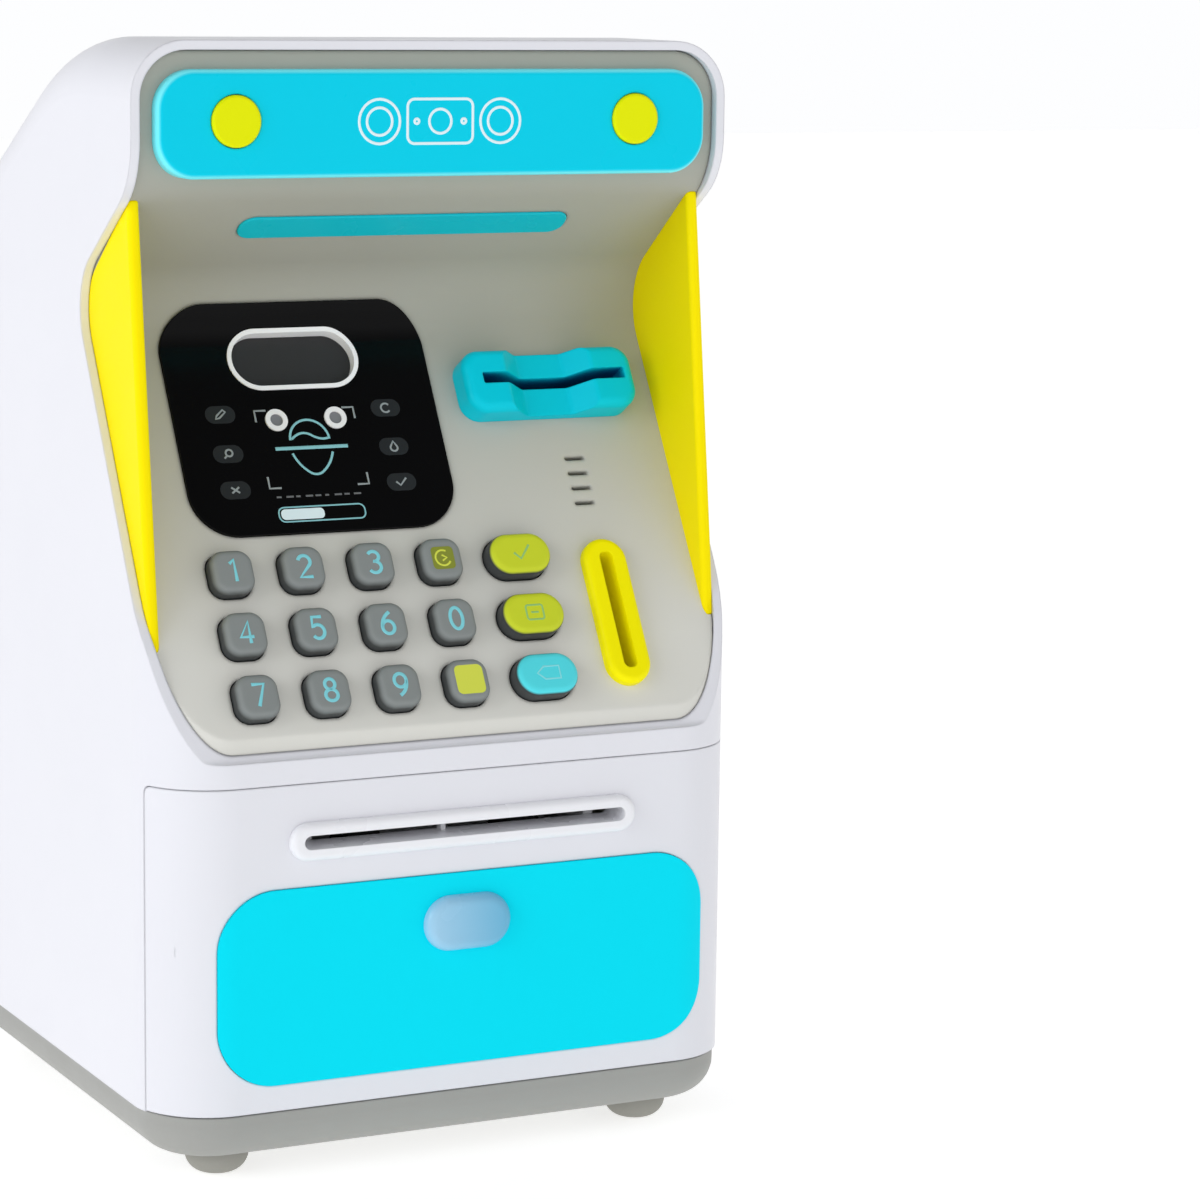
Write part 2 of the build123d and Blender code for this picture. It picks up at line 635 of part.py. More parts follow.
with BuildPart() as card_reader:
    add(slope_prism(READER_MIDDLE, READER, 4.0, 0.0, READER_HEIGHT))
    fillet(upper_rim(card_reader, slope()), READER_EDGE)
    # a shallow thumb dip with sloping flanks and soft corners across the middle
    with BuildSketch(slope().rotated((90, 0, 0)).offset(-READER_MIDDLE[1] - READER[1])):
        with BuildLine():
            left, right = READER_MIDDLE[0] - READER[0] / 2, READER_MIDDLE[0] + READER[0] / 2
            flank = [(DIP_BOTTOM / 2, DIP_FLOOR), (DIP_TOP / 2, READER_HEIGHT)]
            rising = [(READER_MIDDLE[0] + x, height) for x, height in flank]
            falling = [(READER_MIDDLE[0] - x, height) for x, height in reversed(flank)]
            dip = [(left, READER_HEIGHT), *falling, *rising, (right, READER_HEIGHT)]
            FilletPolyline(*dip, radius=DIP_ROUND)
            Polyline(dip[-1], (right, READER_HEIGHT + 3), (left, READER_HEIGHT + 3), dip[0])
        make_face()
    extrude(amount=2 * READER[1], mode=Mode.SUBTRACT)
    sleeve = [length + 2 * SLEEVE_WALL for length in CARD_SLOT]
    add(slope_prism(CARD_SLOT_MIDDLE, sleeve, 0.9, -SLEEVE_DEPTH, 0.5))
    add(slope_prism(CARD_SLOT_MIDDLE, CARD_SLOT, 0.4, 1.5 - SLEEVE_DEPTH, 8), mode=Mode.SUBTRACT)
save(card_reader.part, "card_reader")

with BuildPart() as coin_slot_bezel:
    add(slope_prism(COIN_SPOT, COIN_BEZEL, None, 0, 2.4))
    fillet(upper_rim(coin_slot_bezel, slope()), 1.2)
    neck = [length + 2 * SLEEVE_WALL for length in COIN_SLIT]
    add(slope_prism(COIN_SPOT, neck, 2.4, -NECK_DEPTH, 0.5))
    add(slope_prism(COIN_SPOT, COIN_SLIT, 1.3, -9, 4), mode=Mode.SUBTRACT)
save(coin_slot_bezel.part, "coin_slot_bezel")


def behind_slope(up, lift):
    """Side view point at a distance up the slope and a height above it."""
    a = radians(SLOPE)
    return (up * cos(a) - lift * sin(a), SLOPE_FOOT + up * sin(a) + lift * cos(a))


SAFE_TOP = 79.6
CHUTE_WALL = 1.2
CHUTE_WIDTH = COIN_SLIT[0] + 1.6
CHUTE_EXIT = (28.0, 56.0)        # behind the front wall, at the safe's roof
CHUTE_BACK = [(45, 104), (CHUTE_EXIT[1], 97)]

with BuildPart() as coin_chute:
    mouth_top = behind_slope(COIN_SPOT[1] + 14.4, -NECK_DEPTH - 0.3)
    mouth_foot = behind_slope(COIN_SPOT[1] - 14.4, -NECK_DEPTH - 0.3)
    exit_rear = (CHUTE_EXIT[1], SAFE_TOP + 0.1)
    exit_front = (CHUTE_EXIT[0], SAFE_TOP + 0.1)
    outline = [mouth_top, *CHUTE_BACK, exit_rear, exit_front, mouth_foot]
    with BuildSketch(side(COIN_SPOT[0])):
        with BuildLine():
            Polyline(*outline, close=True)
        make_face()
    extrude(amount=CHUTE_WIDTH / 2 + CHUTE_WALL, both=True)
    with BuildSketch(side(COIN_SPOT[0])):
        with BuildLine():
            Polyline(*outline, close=True)
        make_face()
        offset(amount=-CHUTE_WALL, kind=Kind.INTERSECTION)
    extrude(amount=CHUTE_WIDTH / 2, both=True, mode=Mode.SUBTRACT)
    mouth = (CHUTE_WIDTH, COIN_SLIT[1])
    add(slope_prism(COIN_SPOT, mouth, 1, -NECK_DEPTH - 3, -NECK_DEPTH + 1), mode=Mode.SUBTRACT)
    with BuildSketch(level(SAFE_TOP - 1)):
        with Locations((COIN_SPOT[0], sum(CHUTE_EXIT) / 2)):
            Rectangle(CHUTE_WIDTH, CHUTE_EXIT[1] - CHUTE_EXIT[0] - 2 * CHUTE_WALL)
    extrude(amount=4, mode=Mode.SUBTRACT)
save(coin_chute.part, "coin_chute")


# ------------------------------------------------------------------ keys, membrane, board, speaker
FLANGE = 0.6                     # how far a key's foot reaches under the console
FLANGE_TOP = -FASCIA - 0.1
FLANGE_FOOT = FLANGE_TOP - 1.0
KEY_EDGE = 1.3
MEMBRANE = (75.5, 39.5)
MEMBRANE_MIDDLE = (-13.9, 24.2)
MEMBRANE_FOOT = -8.6
MEMBRANE_THICK = 1.0
DOME_TOP = FLANGE_FOOT - KEY_TRAVEL - 0.3
BOARD = (76.2, 58.0)
BOARD_MIDDLE = (-15.3, 33.0)
BOARD_FOOT = -10.3
BOARD_THICK = 1.6
CHIPS = [((-30, 40), (12, 12), 1.6), ((0, 36), (9, 14), 1.8), ((-38, 20), (7, 16), 5.5), ((14, 30), (8, 6), 3)]


def key(spot, size, corner, top):
    """A key cap with a foot that holds it under the console; a pill has no corner radius."""
    foot = [length + 2 * FLANGE for length in size]
    with BuildPart() as cap:
        add(slope_prism(spot, size, corner, FLANGE_TOP - 0.2, top))
        fillet(upper_rim(cap, slope()), KEY_EDGE)
        add(slope_prism(spot, foot, corner and corner + FLANGE, FLANGE_FOOT, FLANGE_TOP))
    return cap.part


KEY_NAMES = ["key_7", "key_8", "key_9", "key_lime", "key_4", "key_5", "key_6", "key_0",
             "key_1", "key_2", "key_3", "key_icon"]
PILL_NAMES = ["pill_lower", "pill_middle", "pill_upper"]
for name, spot in zip(KEY_NAMES, KEY_SPOTS):
    save(key(spot, KEY_SIZE, KEY_ROUND, KEY_TOP), name)
for name, spot in zip(PILL_NAMES, PILL_SPOTS):
    save(key(spot, PILL_SIZE, None, PILL_TOP), name)

with BuildPart() as keypad_membrane:
    add(slope_prism(MEMBRANE_MIDDLE, MEMBRANE, 2, MEMBRANE_FOOT, MEMBRANE_FOOT + MEMBRANE_THICK))
    with BuildSketch(slope(MEMBRANE_FOOT + 0.5)):
        with Locations(*KEY_SPOTS, *PILL_SPOTS):
            Circle(3.2)
    extrude(amount=DOME_TOP - MEMBRANE_FOOT - 0.5, taper=12)
save(keypad_membrane.part, "keypad_membrane")

with BuildPart() as main_board:
    add(slope_prism(BOARD_MIDDLE, BOARD, 1.5, BOARD_FOOT, BOARD_FOOT + BOARD_THICK))
    for middle, size, height in CHIPS:
        add(slope_prism(middle, size, 0.4, BOARD_FOOT - height, BOARD_FOOT))
    with BuildSketch(slope(BOARD_FOOT - 8)):
        with Locations((-14, 22), (8, 18)):
            Circle(3.0)
    extrude(amount=8)
save(main_board.part, "main_board")

with BuildPart() as speaker:
    for radius, low, high in ((13.2, -9.5, -3.0), (7.5, -14.0, -9.5)):
        with BuildSketch(slope(low)):
            with Locations(SPEAKER_SPOT):
                Circle(radius)
        extrude(amount=high - low)
    with BuildSketch(slope(-5)):
        with Locations(SPEAKER_SPOT):
            Circle(11.0)
    extrude(amount=3, mode=Mode.SUBTRACT)
save(speaker.part, "speaker")


# ------------------------------------------------------------------ safe liner and latch
SAFE_X = (-48.0, 48.0)
SAFE_Y = (13.0, 96.0)
SAFE_FLOOR = 14.7
SAFE_WALL = 1.6
FLANGE_X = (-59.8, 55.0)
BOLT_SPOT = (-55.0, 21.0)
BOLT_R = 1.95
BOLT_REST = 48.2                 # lower end of the bolt, drawn in
BOLT_TRAVEL = 3.5
STRIKE_Z = (45.9, 47.6)
STRIKE_X = (BOLT_SPOT[0] - 2.8, BOLT_SPOT[0] + 3.5)
COIL_Z = (51.0, 69.0)
SPRING_LENGTH = BOLT_TRAVEL + 2.5


def box(x, y, z, mode=Mode.ADD):
    """A block between three pairs of limits; y is measured behind the front wall."""
    with BuildPart(mode=Mode.PRIVATE) as block:
        with BuildSketch(level(z[0])):
            with Locations(((x[0] + x[1]) / 2, (y[0] + y[1]) / 2)):
                Rectangle(x[1] - x[0], y[1] - y[0])
        extrude(amount=z[1] - z[0])
    return add(block.part, mode=mode)


with BuildPart() as safe_liner:
    box(SAFE_X, SAFE_Y, (SAFE_FLOOR, SAFE_TOP))
    box(FLANGE_X, (SAFE_Y[0], SAFE_Y[0] + 1.4), (SAFE_FLOOR, DOOR_TOP - 0.6))
    inner_x = (SAFE_X[0] + SAFE_WALL, SAFE_X[1] - SAFE_WALL)
    inner_z = (SAFE_FLOOR + SAFE_WALL, SAFE_TOP - SAFE_WALL)
    box(inner_x, (SAFE_Y[0] - 1, SAFE_Y[1] - SAFE_WALL), inner_z, Mode.SUBTRACT)
    # hole under the coin chute, and one in the front flange for the door's strike
    half = CHUTE_WIDTH / 2 + 0.5
    coin_hole_x = (COIN_SPOT[0] - half, COIN_SPOT[0] + half)
    coin_hole_y = (CHUTE_EXIT[0] + 1, CHUTE_EXIT[1] - 1)
    box(coin_hole_x, coin_hole_y, (70, SAFE_TOP + 1), Mode.SUBTRACT)
    strike_hole_x = (STRIKE_X[0] - 1.5, STRIKE_X[1] + 0.8)
    strike_hole_z = (STRIKE_Z[0] - 0.8, STRIKE_Z[1] + 0.8)
    box(strike_hole_x, (SAFE_Y[0] - 1, SAFE_Y[0] + 1.4), strike_hole_z, Mode.SUBTRACT)
save(safe_liner.part, "safe_liner")

with BuildPart() as latch_solenoid:
    # bracket plates with the round winding between them
    bracket_x = (BOLT_SPOT[0] - 4.8, BOLT_SPOT[0] + 4.8)
    bracket_y = (SAFE_Y[0] + 1.5, BOLT_SPOT[1] + 5.0)
    box(bracket_x, bracket_y, (COIL_Z[0], COIL_Z[0] + 1.4))
    box(bracket_x, bracket_y, (COIL_Z[1] - 1.4, COIL_Z[1]))
    box(bracket_x, (bracket_y[0], bracket_y[0] + 1.4), COIL_Z)
    for radius, way in ((4.6, Mode.ADD), (BOLT_R + RUN, Mode.SUBTRACT)):
        with BuildSketch(level(COIL_Z[0])):
            with Locations(BOLT_SPOT):
                Circle(radius)
        extrude(amount=COIL_Z[1] - COIL_Z[0], mode=way)
save(latch_solenoid.part, "latch_solenoid")

with BuildPart() as latch_bolt:
    collar = COIL_Z[1] + SPRING_LENGTH
    with BuildSketch(level(BOLT_REST)):
        with Locations(BOLT_SPOT):
            Circle(BOLT_R)
    extrude(amount=collar + 2 - BOLT_REST)
    chamfer(latch_bolt.edges().group_by(Axis.Z)[0], 0.5)
    with BuildSketch(level(collar)):
        with Locations(BOLT_SPOT):
            Circle(3.4)
    extrude(amount=1.0)
save(latch_bolt.part, "latch_bolt")

with BuildPart() as latch_spring:
    coil_base = (BOLT_SPOT[0], FRONT + BOLT_SPOT[1], COIL_Z[1] + 0.3)
    with BuildLine():
        coil = Helix(pitch=1.35, height=SPRING_LENGTH - 0.6, radius=2.65, center=coil_base)
    with BuildSketch(Plane(origin=coil @ 0, z_dir=coil % 0)):
        Circle(0.25)
    sweep()
save(latch_spring.part, "latch_spring")

with BuildPart() as hinge_pins:
    for low, high in ((BASE_TOP - 4, BASE_TOP + 6), (DOOR_TOP - 6, DOOR_TOP + 4)):
        with BuildSketch(level(low)):
            with Locations((HINGE_X, HINGE_Y)):
                Circle(PIN_R)
        extrude(amount=high - low)
save(hinge_pins.part, "hinge_pins")


# ------------------------------------------------------------------ door
DOOR_FOOT = SEAM + 0.3
DOOR_HEAD = DOOR_TOP - 0.15
PLATE = (103.1, 37.95)
PLATE_X = 0.8
PLATE_ROUND = 11.5
PLATE_MIDDLE = 38.93
PLATE_PROUD = 0.35
PLATE_POCKET = 0.8
NOTE_RING = (73.0, 7.4)
NOTE_SLIT = (67.8, 2.7)
NOTE_Z = 66.8
NOTE_PROUD = 1.7
PULL = (18.2, 10.9)
PULL_X, PULL_Z = 0.4, 48.2


def door_reach():
    """How far back the door's skin wraps on each side, drawn in the sketch that is open."""
    with BuildSketch(mode=Mode.PRIVATE) as reach:
        for x, edge in ((-WIDTH / 2, DOOR_EDGE), (WIDTH / 2, HINGE_Y)):
            with Locations((x, edge - GAP - 20)):
                Rectangle(WIDTH, 40)
    return reach.sketch


def door_skin(outer, inner, low, high):
    """A layer of the door's wrapped front wall between two insets from the casing's plan."""
    with BuildPart(mode=Mode.PRIVATE) as skin:
        with BuildSketch(level(low)):
            add(plan_outline(outer))
            add(plan_outline(inner), mode=Mode.SUBTRACT)
            add(door_reach(), mode=Mode.INTERSECT)
        extrude(amount=high - low)
    return skin.part


def front_outline(size, corner, middle, near, far):
    """A rounded block through the front wall, between two distances behind it."""
    with BuildPart(mode=Mode.PRIVATE) as block:
        with BuildSketch(upright(far)):
            with Locations(middle):
                if corner is None:
                    SlotOverall(*size)
                else:
                    RectangleRounded(*size, corner)
        extrude(amount=far - near)
    return block.part


with BuildPart() as door_panel:
    add(door_skin(0, DOOR_WALL, DOOR_FOOT, DOOR_HEAD))
    # rounded upper corner at the side seam
    with BuildSketch(side(-WIDTH)):
        with Locations((DOOR_EDGE - GAP, DOOR_FOOT)):
            half_height = DOOR_HEAD - DOOR_FOOT
            RectangleRounded(60, 2 * half_height, DOOR_ROUND, align=(Align.MAX, Align.CENTER))
    extrude(amount=2 * WIDTH, mode=Mode.INTERSECT)
    # the right edge ends in the hinge barrel
    box((HINGE_X, WIDTH / 2), (HINGE_Y - 1.6, HINGE_Y), (DOOR_FOOT - 1, DOOR_HEAD + 1), Mode.SUBTRACT)
    with BuildSketch(level(DOOR_FOOT)):
        with Locations((HINGE_X, HINGE_Y)):
            Circle(HINGE_R)
    extrude(amount=DOOR_HEAD - DOOR_FOOT)
    for low, high in ((DOOR_FOOT - 1, BASE_TOP + 6.2), (DOOR_TOP - 6.2, DOOR_TOP)):
        with BuildSketch(level(low)):
            with Locations((HINGE_X, HINGE_Y)):
                Circle(PIN_R + RUN)
        extrude(amount=high - low, mode=Mode.SUBTRACT)
    # pocket for the coloured plate
    with BuildPart(mode=Mode.PRIVATE) as plate_pocket:
        add(door_skin(-1, PLATE_POCKET, DOOR_FOOT, DOOR_HEAD))
        pocket = [length + 0.2 for length in PLATE]
        add(front_outline(pocket, PLATE_ROUND + 0.1, (PLATE_X, PLATE_MIDDLE), -2, 6), mode=Mode.INTERSECT)
    add(plate_pocket.part, mode=Mode.SUBTRACT)
    note_hole = [length - 2 for length in NOTE_RING]
    add(front_outline(note_hole, None, (0, NOTE_Z), -2, 6), mode=Mode.SUBTRACT)
    # strike for the latch bolt
    box(STRIKE_X, (4.6, BOLT_SPOT[1] + 4), STRIKE_Z)
    with BuildSketch(level(STRIKE_Z[0] - 1)):
        with Locations(BOLT_SPOT):
            Circle(BOLT_R + 0.3)
    extrude(amount=4, mode=Mode.SUBTRACT)
save(door_panel.part, "door_panel")

with BuildPart() as door_plate:
    add(door_skin(-PLATE_PROUD, PLATE_POCKET, DOOR_FOOT, DOOR_HEAD))
    add(front_outline(PLATE, PLATE_ROUND, (PLATE_X, PLATE_MIDDLE), -2, 6), mode=Mode.INTERSECT)
save(door_plate.part, "door_plate")

with BuildPart() as door_pull:
    add(front_outline(PULL, None, (PULL_X, PULL_Z), -PULL_PROUD, -PLATE_PROUD))
    fillet(door_pull.edges().group_by(Axis.Y)[0], PULL_PROUD - PLATE_PROUD - 0.15)
save(door_pull.part, "door_pull")

with BuildPart() as note_slot_bezel:
    add(front_outline(NOTE_RING, None, (0, NOTE_Z), -NOTE_PROUD, 0))
    fillet(note_slot_bezel.edges().group_by(Axis.Y)[0], 1.3)
    throat = [length - 2.2 for length in NOTE_RING]
    add(front_outline(throat, None, (0, NOTE_Z), -0.5, 6.5))
    add(front_outline(NOTE_SLIT, None, (0, NOTE_Z), -4, 8), mode=Mode.SUBTRACT)
    box((-3.0, -2.0), (4.5, 6.4), (NOTE_Z - 1.5, NOTE_Z + 1.5))
save(note_slot_bezel.part, "note_slot_bezel")


# ------------------------------------------------------------------ note feeder, carried by the door
SHAFT_Y, SHAFT_Z, SHAFT_R = 13.3, 61.0, 1.5
TYRE_R, TYRE_X, TYRE_WIDTH = 5.5, 17.0, 7.0
IDLER_Z, IDLER_R, IDLER_PIN_R = 69.8, 2.5, 1.0
CHEEK_X = (-30.0, 30.0)
CHEEK = 2.0
GEAR_TEETH, PINION_TEETH, MODULE = 40, 10, 0.5
MOTOR_Z = SHAFT_Z - MODULE * (GEAR_TEETH + PINION_TEETH) / 2
GEAR_X = 35.6                    # left face of the gears, clear of the note throat
GEAR_WIDTH = 3.0
MOTOR_BOSS_R = 2.9
MOTOR_SHAFT_R = 0.95
MOTOR_END = CHEEK_X[1] - CHEEK / 2 - 0.2
COVER_Y = 26.5


def across(x, height):
    """Upright plane square to X at a height on the roller shaft's line; x runs back, y up."""
    return Plane(origin=(x, FRONT + SHAFT_Y, height), x_dir=(0, 1, 0), z_dir=(1, 0, 0))


def gear(teeth, height):
    """A spur gear with straight-sided teeth, standing on the feeder's right side."""
    pitch = MODULE * teeth / 2
    root = pitch - 1.15 * MODULE
    tip = pitch + 0.85 * MODULE
    step = 2 * pi / teeth
    foot_half = 0.30 * step * root
    tip_half = 0.12 * step * tip
    with BuildPart() as wheel:
        with BuildSketch(across(GEAR_X, height)):
            Circle(root)
            with PolarLocations(0, teeth):
                with BuildSketch(mode=Mode.PRIVATE) as tooth:
                    Polygon((root - 0.4, -foot_half), (root, -foot_half), (tip, -tip_half),
                            (tip, tip_half), (root, foot_half), (root - 0.4, foot_half), align=None)
                add(tooth.sketch)
        extrude(amount=GEAR_WIDTH)
    return wheel.part


with BuildPart() as feed_frame:
    # two cheek plates with screw tabs, joined along the top; the right one carries the motor
    for x, tab_x, low, tab_low in ((CHEEK_X[0], -7, 54.0, 54.0), (CHEEK_X[1], 7, 38.5, 39.0)):
        box((x - CHEEK / 2, x + CHEEK / 2), (DOOR_WALL + 0.1, 22.5), (low, 75.4))
        box(sorted((x, x + tab_x)), (DOOR_WALL + 0.1, 4.2), (tab_low, tab_low + 8))
    box(CHEEK_X, (7.5, 22.5), (73.8, 75.4))
    box((-40, 40), (0, 6.9), (NOTE_Z - 3.3, NOTE_Z + 3.3), Mode.SUBTRACT)
    for height, radius in ((SHAFT_Z, SHAFT_R), (IDLER_Z, IDLER_PIN_R)):
        with BuildSketch(across(CHEEK_X[0] - 3, height)):
            Circle(radius + RUN)
        extrude(amount=70, mode=Mode.SUBTRACT)
    with BuildSketch(across(CHEEK_X[1] - 3, MOTOR_Z)):
        Circle(MOTOR_BOSS_R + 0.1)
    extrude(amount=6, mode=Mode.SUBTRACT)
save(feed_frame.part, "feed_frame")

with BuildPart() as feed_shaft:
    with BuildSketch(across(CHEEK_X[0] - 2.5, SHAFT_Z)):
        Circle(SHAFT_R)
    extrude(amount=GEAR_X + GEAR_WIDTH + 0.8 - CHEEK_X[0] + 2.5)
save(feed_shaft.part, "feed_shaft")

with BuildPart() as feed_tyres:
    for x in (-TYRE_X, TYRE_X):
        with BuildSketch(across(x - TYRE_WIDTH / 2, SHAFT_Z)):
            Circle(TYRE_R)
            Circle(SHAFT_R, mode=Mode.SUBTRACT)
        extrude(amount=TYRE_WIDTH)
    fillet(feed_tyres.edges().filter_by(GeomType.CIRCLE).filter_by(lambda e: e.radius > TYRE_R - 0.1), 0.5)
save(feed_tyres.part, "feed_tyres")

with BuildPart() as idler_roller:
    with BuildSketch(across(CHEEK_X[0] - 1, IDLER_Z)):
        Circle(IDLER_PIN_R)
    extrude(amount=CHEEK_X[1] - CHEEK_X[0] + 2)
    for x in (-TYRE_X, TYRE_X):
        with BuildSketch(across(x - TYRE_WIDTH / 2, IDLER_Z)):
            Circle(IDLER_R)
        extrude(amount=TYRE_WIDTH)
save(idler_roller.part, "idler_roller")

with BuildPart() as feed_gear:
    add(gear(GEAR_TEETH, SHAFT_Z))
    with BuildSketch(across(GEAR_X, SHAFT_Z)):
        Circle(SHAFT_R)
    extrude(amount=GEAR_WIDTH, mode=Mode.SUBTRACT)
save(feed_gear.part, "feed_gear")

with BuildPart() as motor_pinion:
    add(gear(PINION_TEETH, MOTOR_Z))
    with BuildSketch(across(MOTOR_END - 9, MOTOR_Z)):
        Circle(MOTOR_SHAFT_R)
    extrude(amount=GEAR_X + GEAR_WIDTH + 0.5 - MOTOR_END + 9)
save(motor_pinion.part, "motor_pinion")

with BuildPart() as feed_motor:
    # can with two flats, end boss in the cheek plate, bore for the turning shaft
    with BuildSketch(across(MOTOR_END - 25, MOTOR_Z)):
        Circle(10.0)
        Rectangle(20, 13, mode=Mode.INTERSECT)
    extrude(amount=25)
    with BuildSketch(across(MOTOR_END, MOTOR_Z)):
        Circle(MOTOR_BOSS_R)
    extrude(amount=1.8)
    with BuildSketch(across(MOTOR_END - 10, MOTOR_Z)):
        Circle(MOTOR_SHAFT_R + RUN)
    extrude(amount=12, mode=Mode.SUBTRACT)
save(feed_motor.part, "feed_motor")

with BuildPart() as feed_cover:
    box((-40, 42), (DOOR_WALL + 0.1, COVER_Y), (37.2, 77.2))
    box((-38.8, 40.8), (DOOR_WALL - 1, COVER_Y - 1.2), (38.4, 76.0), Mode.SUBTRACT)
    box((-35, 35), (COVER_Y - 3, COVER_Y + 1), (NOTE_Z - 2, NOTE_Z + 2), Mode.SUBTRACT)
    fillet(feed_cover.faces().sort_by(Axis.Y)[-1].outer_wire().edges(), 1.0)
save(feed_cover.part, "feed_cover")


# ------------------------------------------------------------------ bank card, kept in the safe
CARD = (44.0, 30.0)
CARD_SPOT = (2.0, 60.0)
CARD_LOW = SAFE_FLOOR + SAFE_WALL + 0.05
CARD_BORDER = 3.0

with BuildPart() as card_frame:
    with BuildSketch(level(CARD_LOW)):
        with Locations(CARD_SPOT):
            RectangleRounded(*CARD, 6)
    extrude(amount=2.2)
    with BuildSketch(level(CARD_LOW + 0.5)):
        with Locations(CARD_SPOT):
            RectangleRounded(*[length - 2 * CARD_BORDER for length in CARD], 3)
    extrude(amount=3, mode=Mode.SUBTRACT)
    fillet(card_frame.edges().group_by(Axis.Z)[-1], 0.5)
save(card_frame.part, "card_frame")

with BuildPart() as card_insert:
    with BuildSketch(level(CARD_LOW + 0.55)):
        with Locations(CARD_SPOT):
            RectangleRounded(*[length - 2 * CARD_BORDER - 0.1 for length in CARD], 2.95)
    extrude(amount=1.2)
save(card_insert.part, "card_insert")
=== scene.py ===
"""Looks for the toy cash machine savings bank, on the frame packed from the CAD.

Everything is in metres in the part's own frame. Each CAD node gets a procedural material, chosen by its
material slot. Printed marks are thin raised pieces that ride on the CAD bodies; their outlines are drawn in
millimetres on a flat plane and then laid on the surface that carries them.
"""
import json
import math

import bpy
from mathutils import Matrix, Vector


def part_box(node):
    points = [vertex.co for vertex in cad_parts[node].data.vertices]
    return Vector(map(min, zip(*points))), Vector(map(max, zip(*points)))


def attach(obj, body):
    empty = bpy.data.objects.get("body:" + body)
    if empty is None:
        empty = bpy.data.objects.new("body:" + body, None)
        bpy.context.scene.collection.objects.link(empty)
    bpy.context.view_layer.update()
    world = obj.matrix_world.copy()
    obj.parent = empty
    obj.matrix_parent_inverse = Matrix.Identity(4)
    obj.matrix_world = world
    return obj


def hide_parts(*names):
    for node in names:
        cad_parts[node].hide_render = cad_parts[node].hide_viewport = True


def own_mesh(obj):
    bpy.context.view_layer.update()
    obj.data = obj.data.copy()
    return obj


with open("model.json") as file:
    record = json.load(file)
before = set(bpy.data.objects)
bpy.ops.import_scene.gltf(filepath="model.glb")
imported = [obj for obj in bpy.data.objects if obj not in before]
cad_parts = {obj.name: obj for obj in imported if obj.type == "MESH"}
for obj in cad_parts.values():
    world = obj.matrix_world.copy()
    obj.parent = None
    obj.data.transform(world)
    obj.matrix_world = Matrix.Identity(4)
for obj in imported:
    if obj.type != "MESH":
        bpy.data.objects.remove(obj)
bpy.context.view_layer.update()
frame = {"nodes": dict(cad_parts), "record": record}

MM = 0.001
FRONT = -62.8 * MM                       # Y of the front wall
SLOPE = math.radians(59.5)               # the console's angle above the horizontal
SLOPE_FOOT = 83.6 * MM                   # Z where the console's plane meets the front wall's
UP_SLOPE = Vector((0, math.cos(SLOPE), math.sin(SLOPE)))
OUT_OF_SLOPE = Vector((0, -math.sin(SLOPE), math.cos(SLOPE)))
SLOPE_ORIGIN = Vector((0, FRONT, SLOPE_FOOT))
EDGE_WIDTH = 0.1 * MM                    # how far a painted colour border is blurred


# ---------------------------------------------------------------- colours
def srgb(red, green, blue):
    """Linear colour from 0..255 display values."""
    linear = []
    for value in (red, green, blue):
        c = value / 255
        linear.append(c / 12.92 if c <= 0.04045 else ((c + 0.055) / 1.055) ** 2.4)
    return (*linear, 1.0)


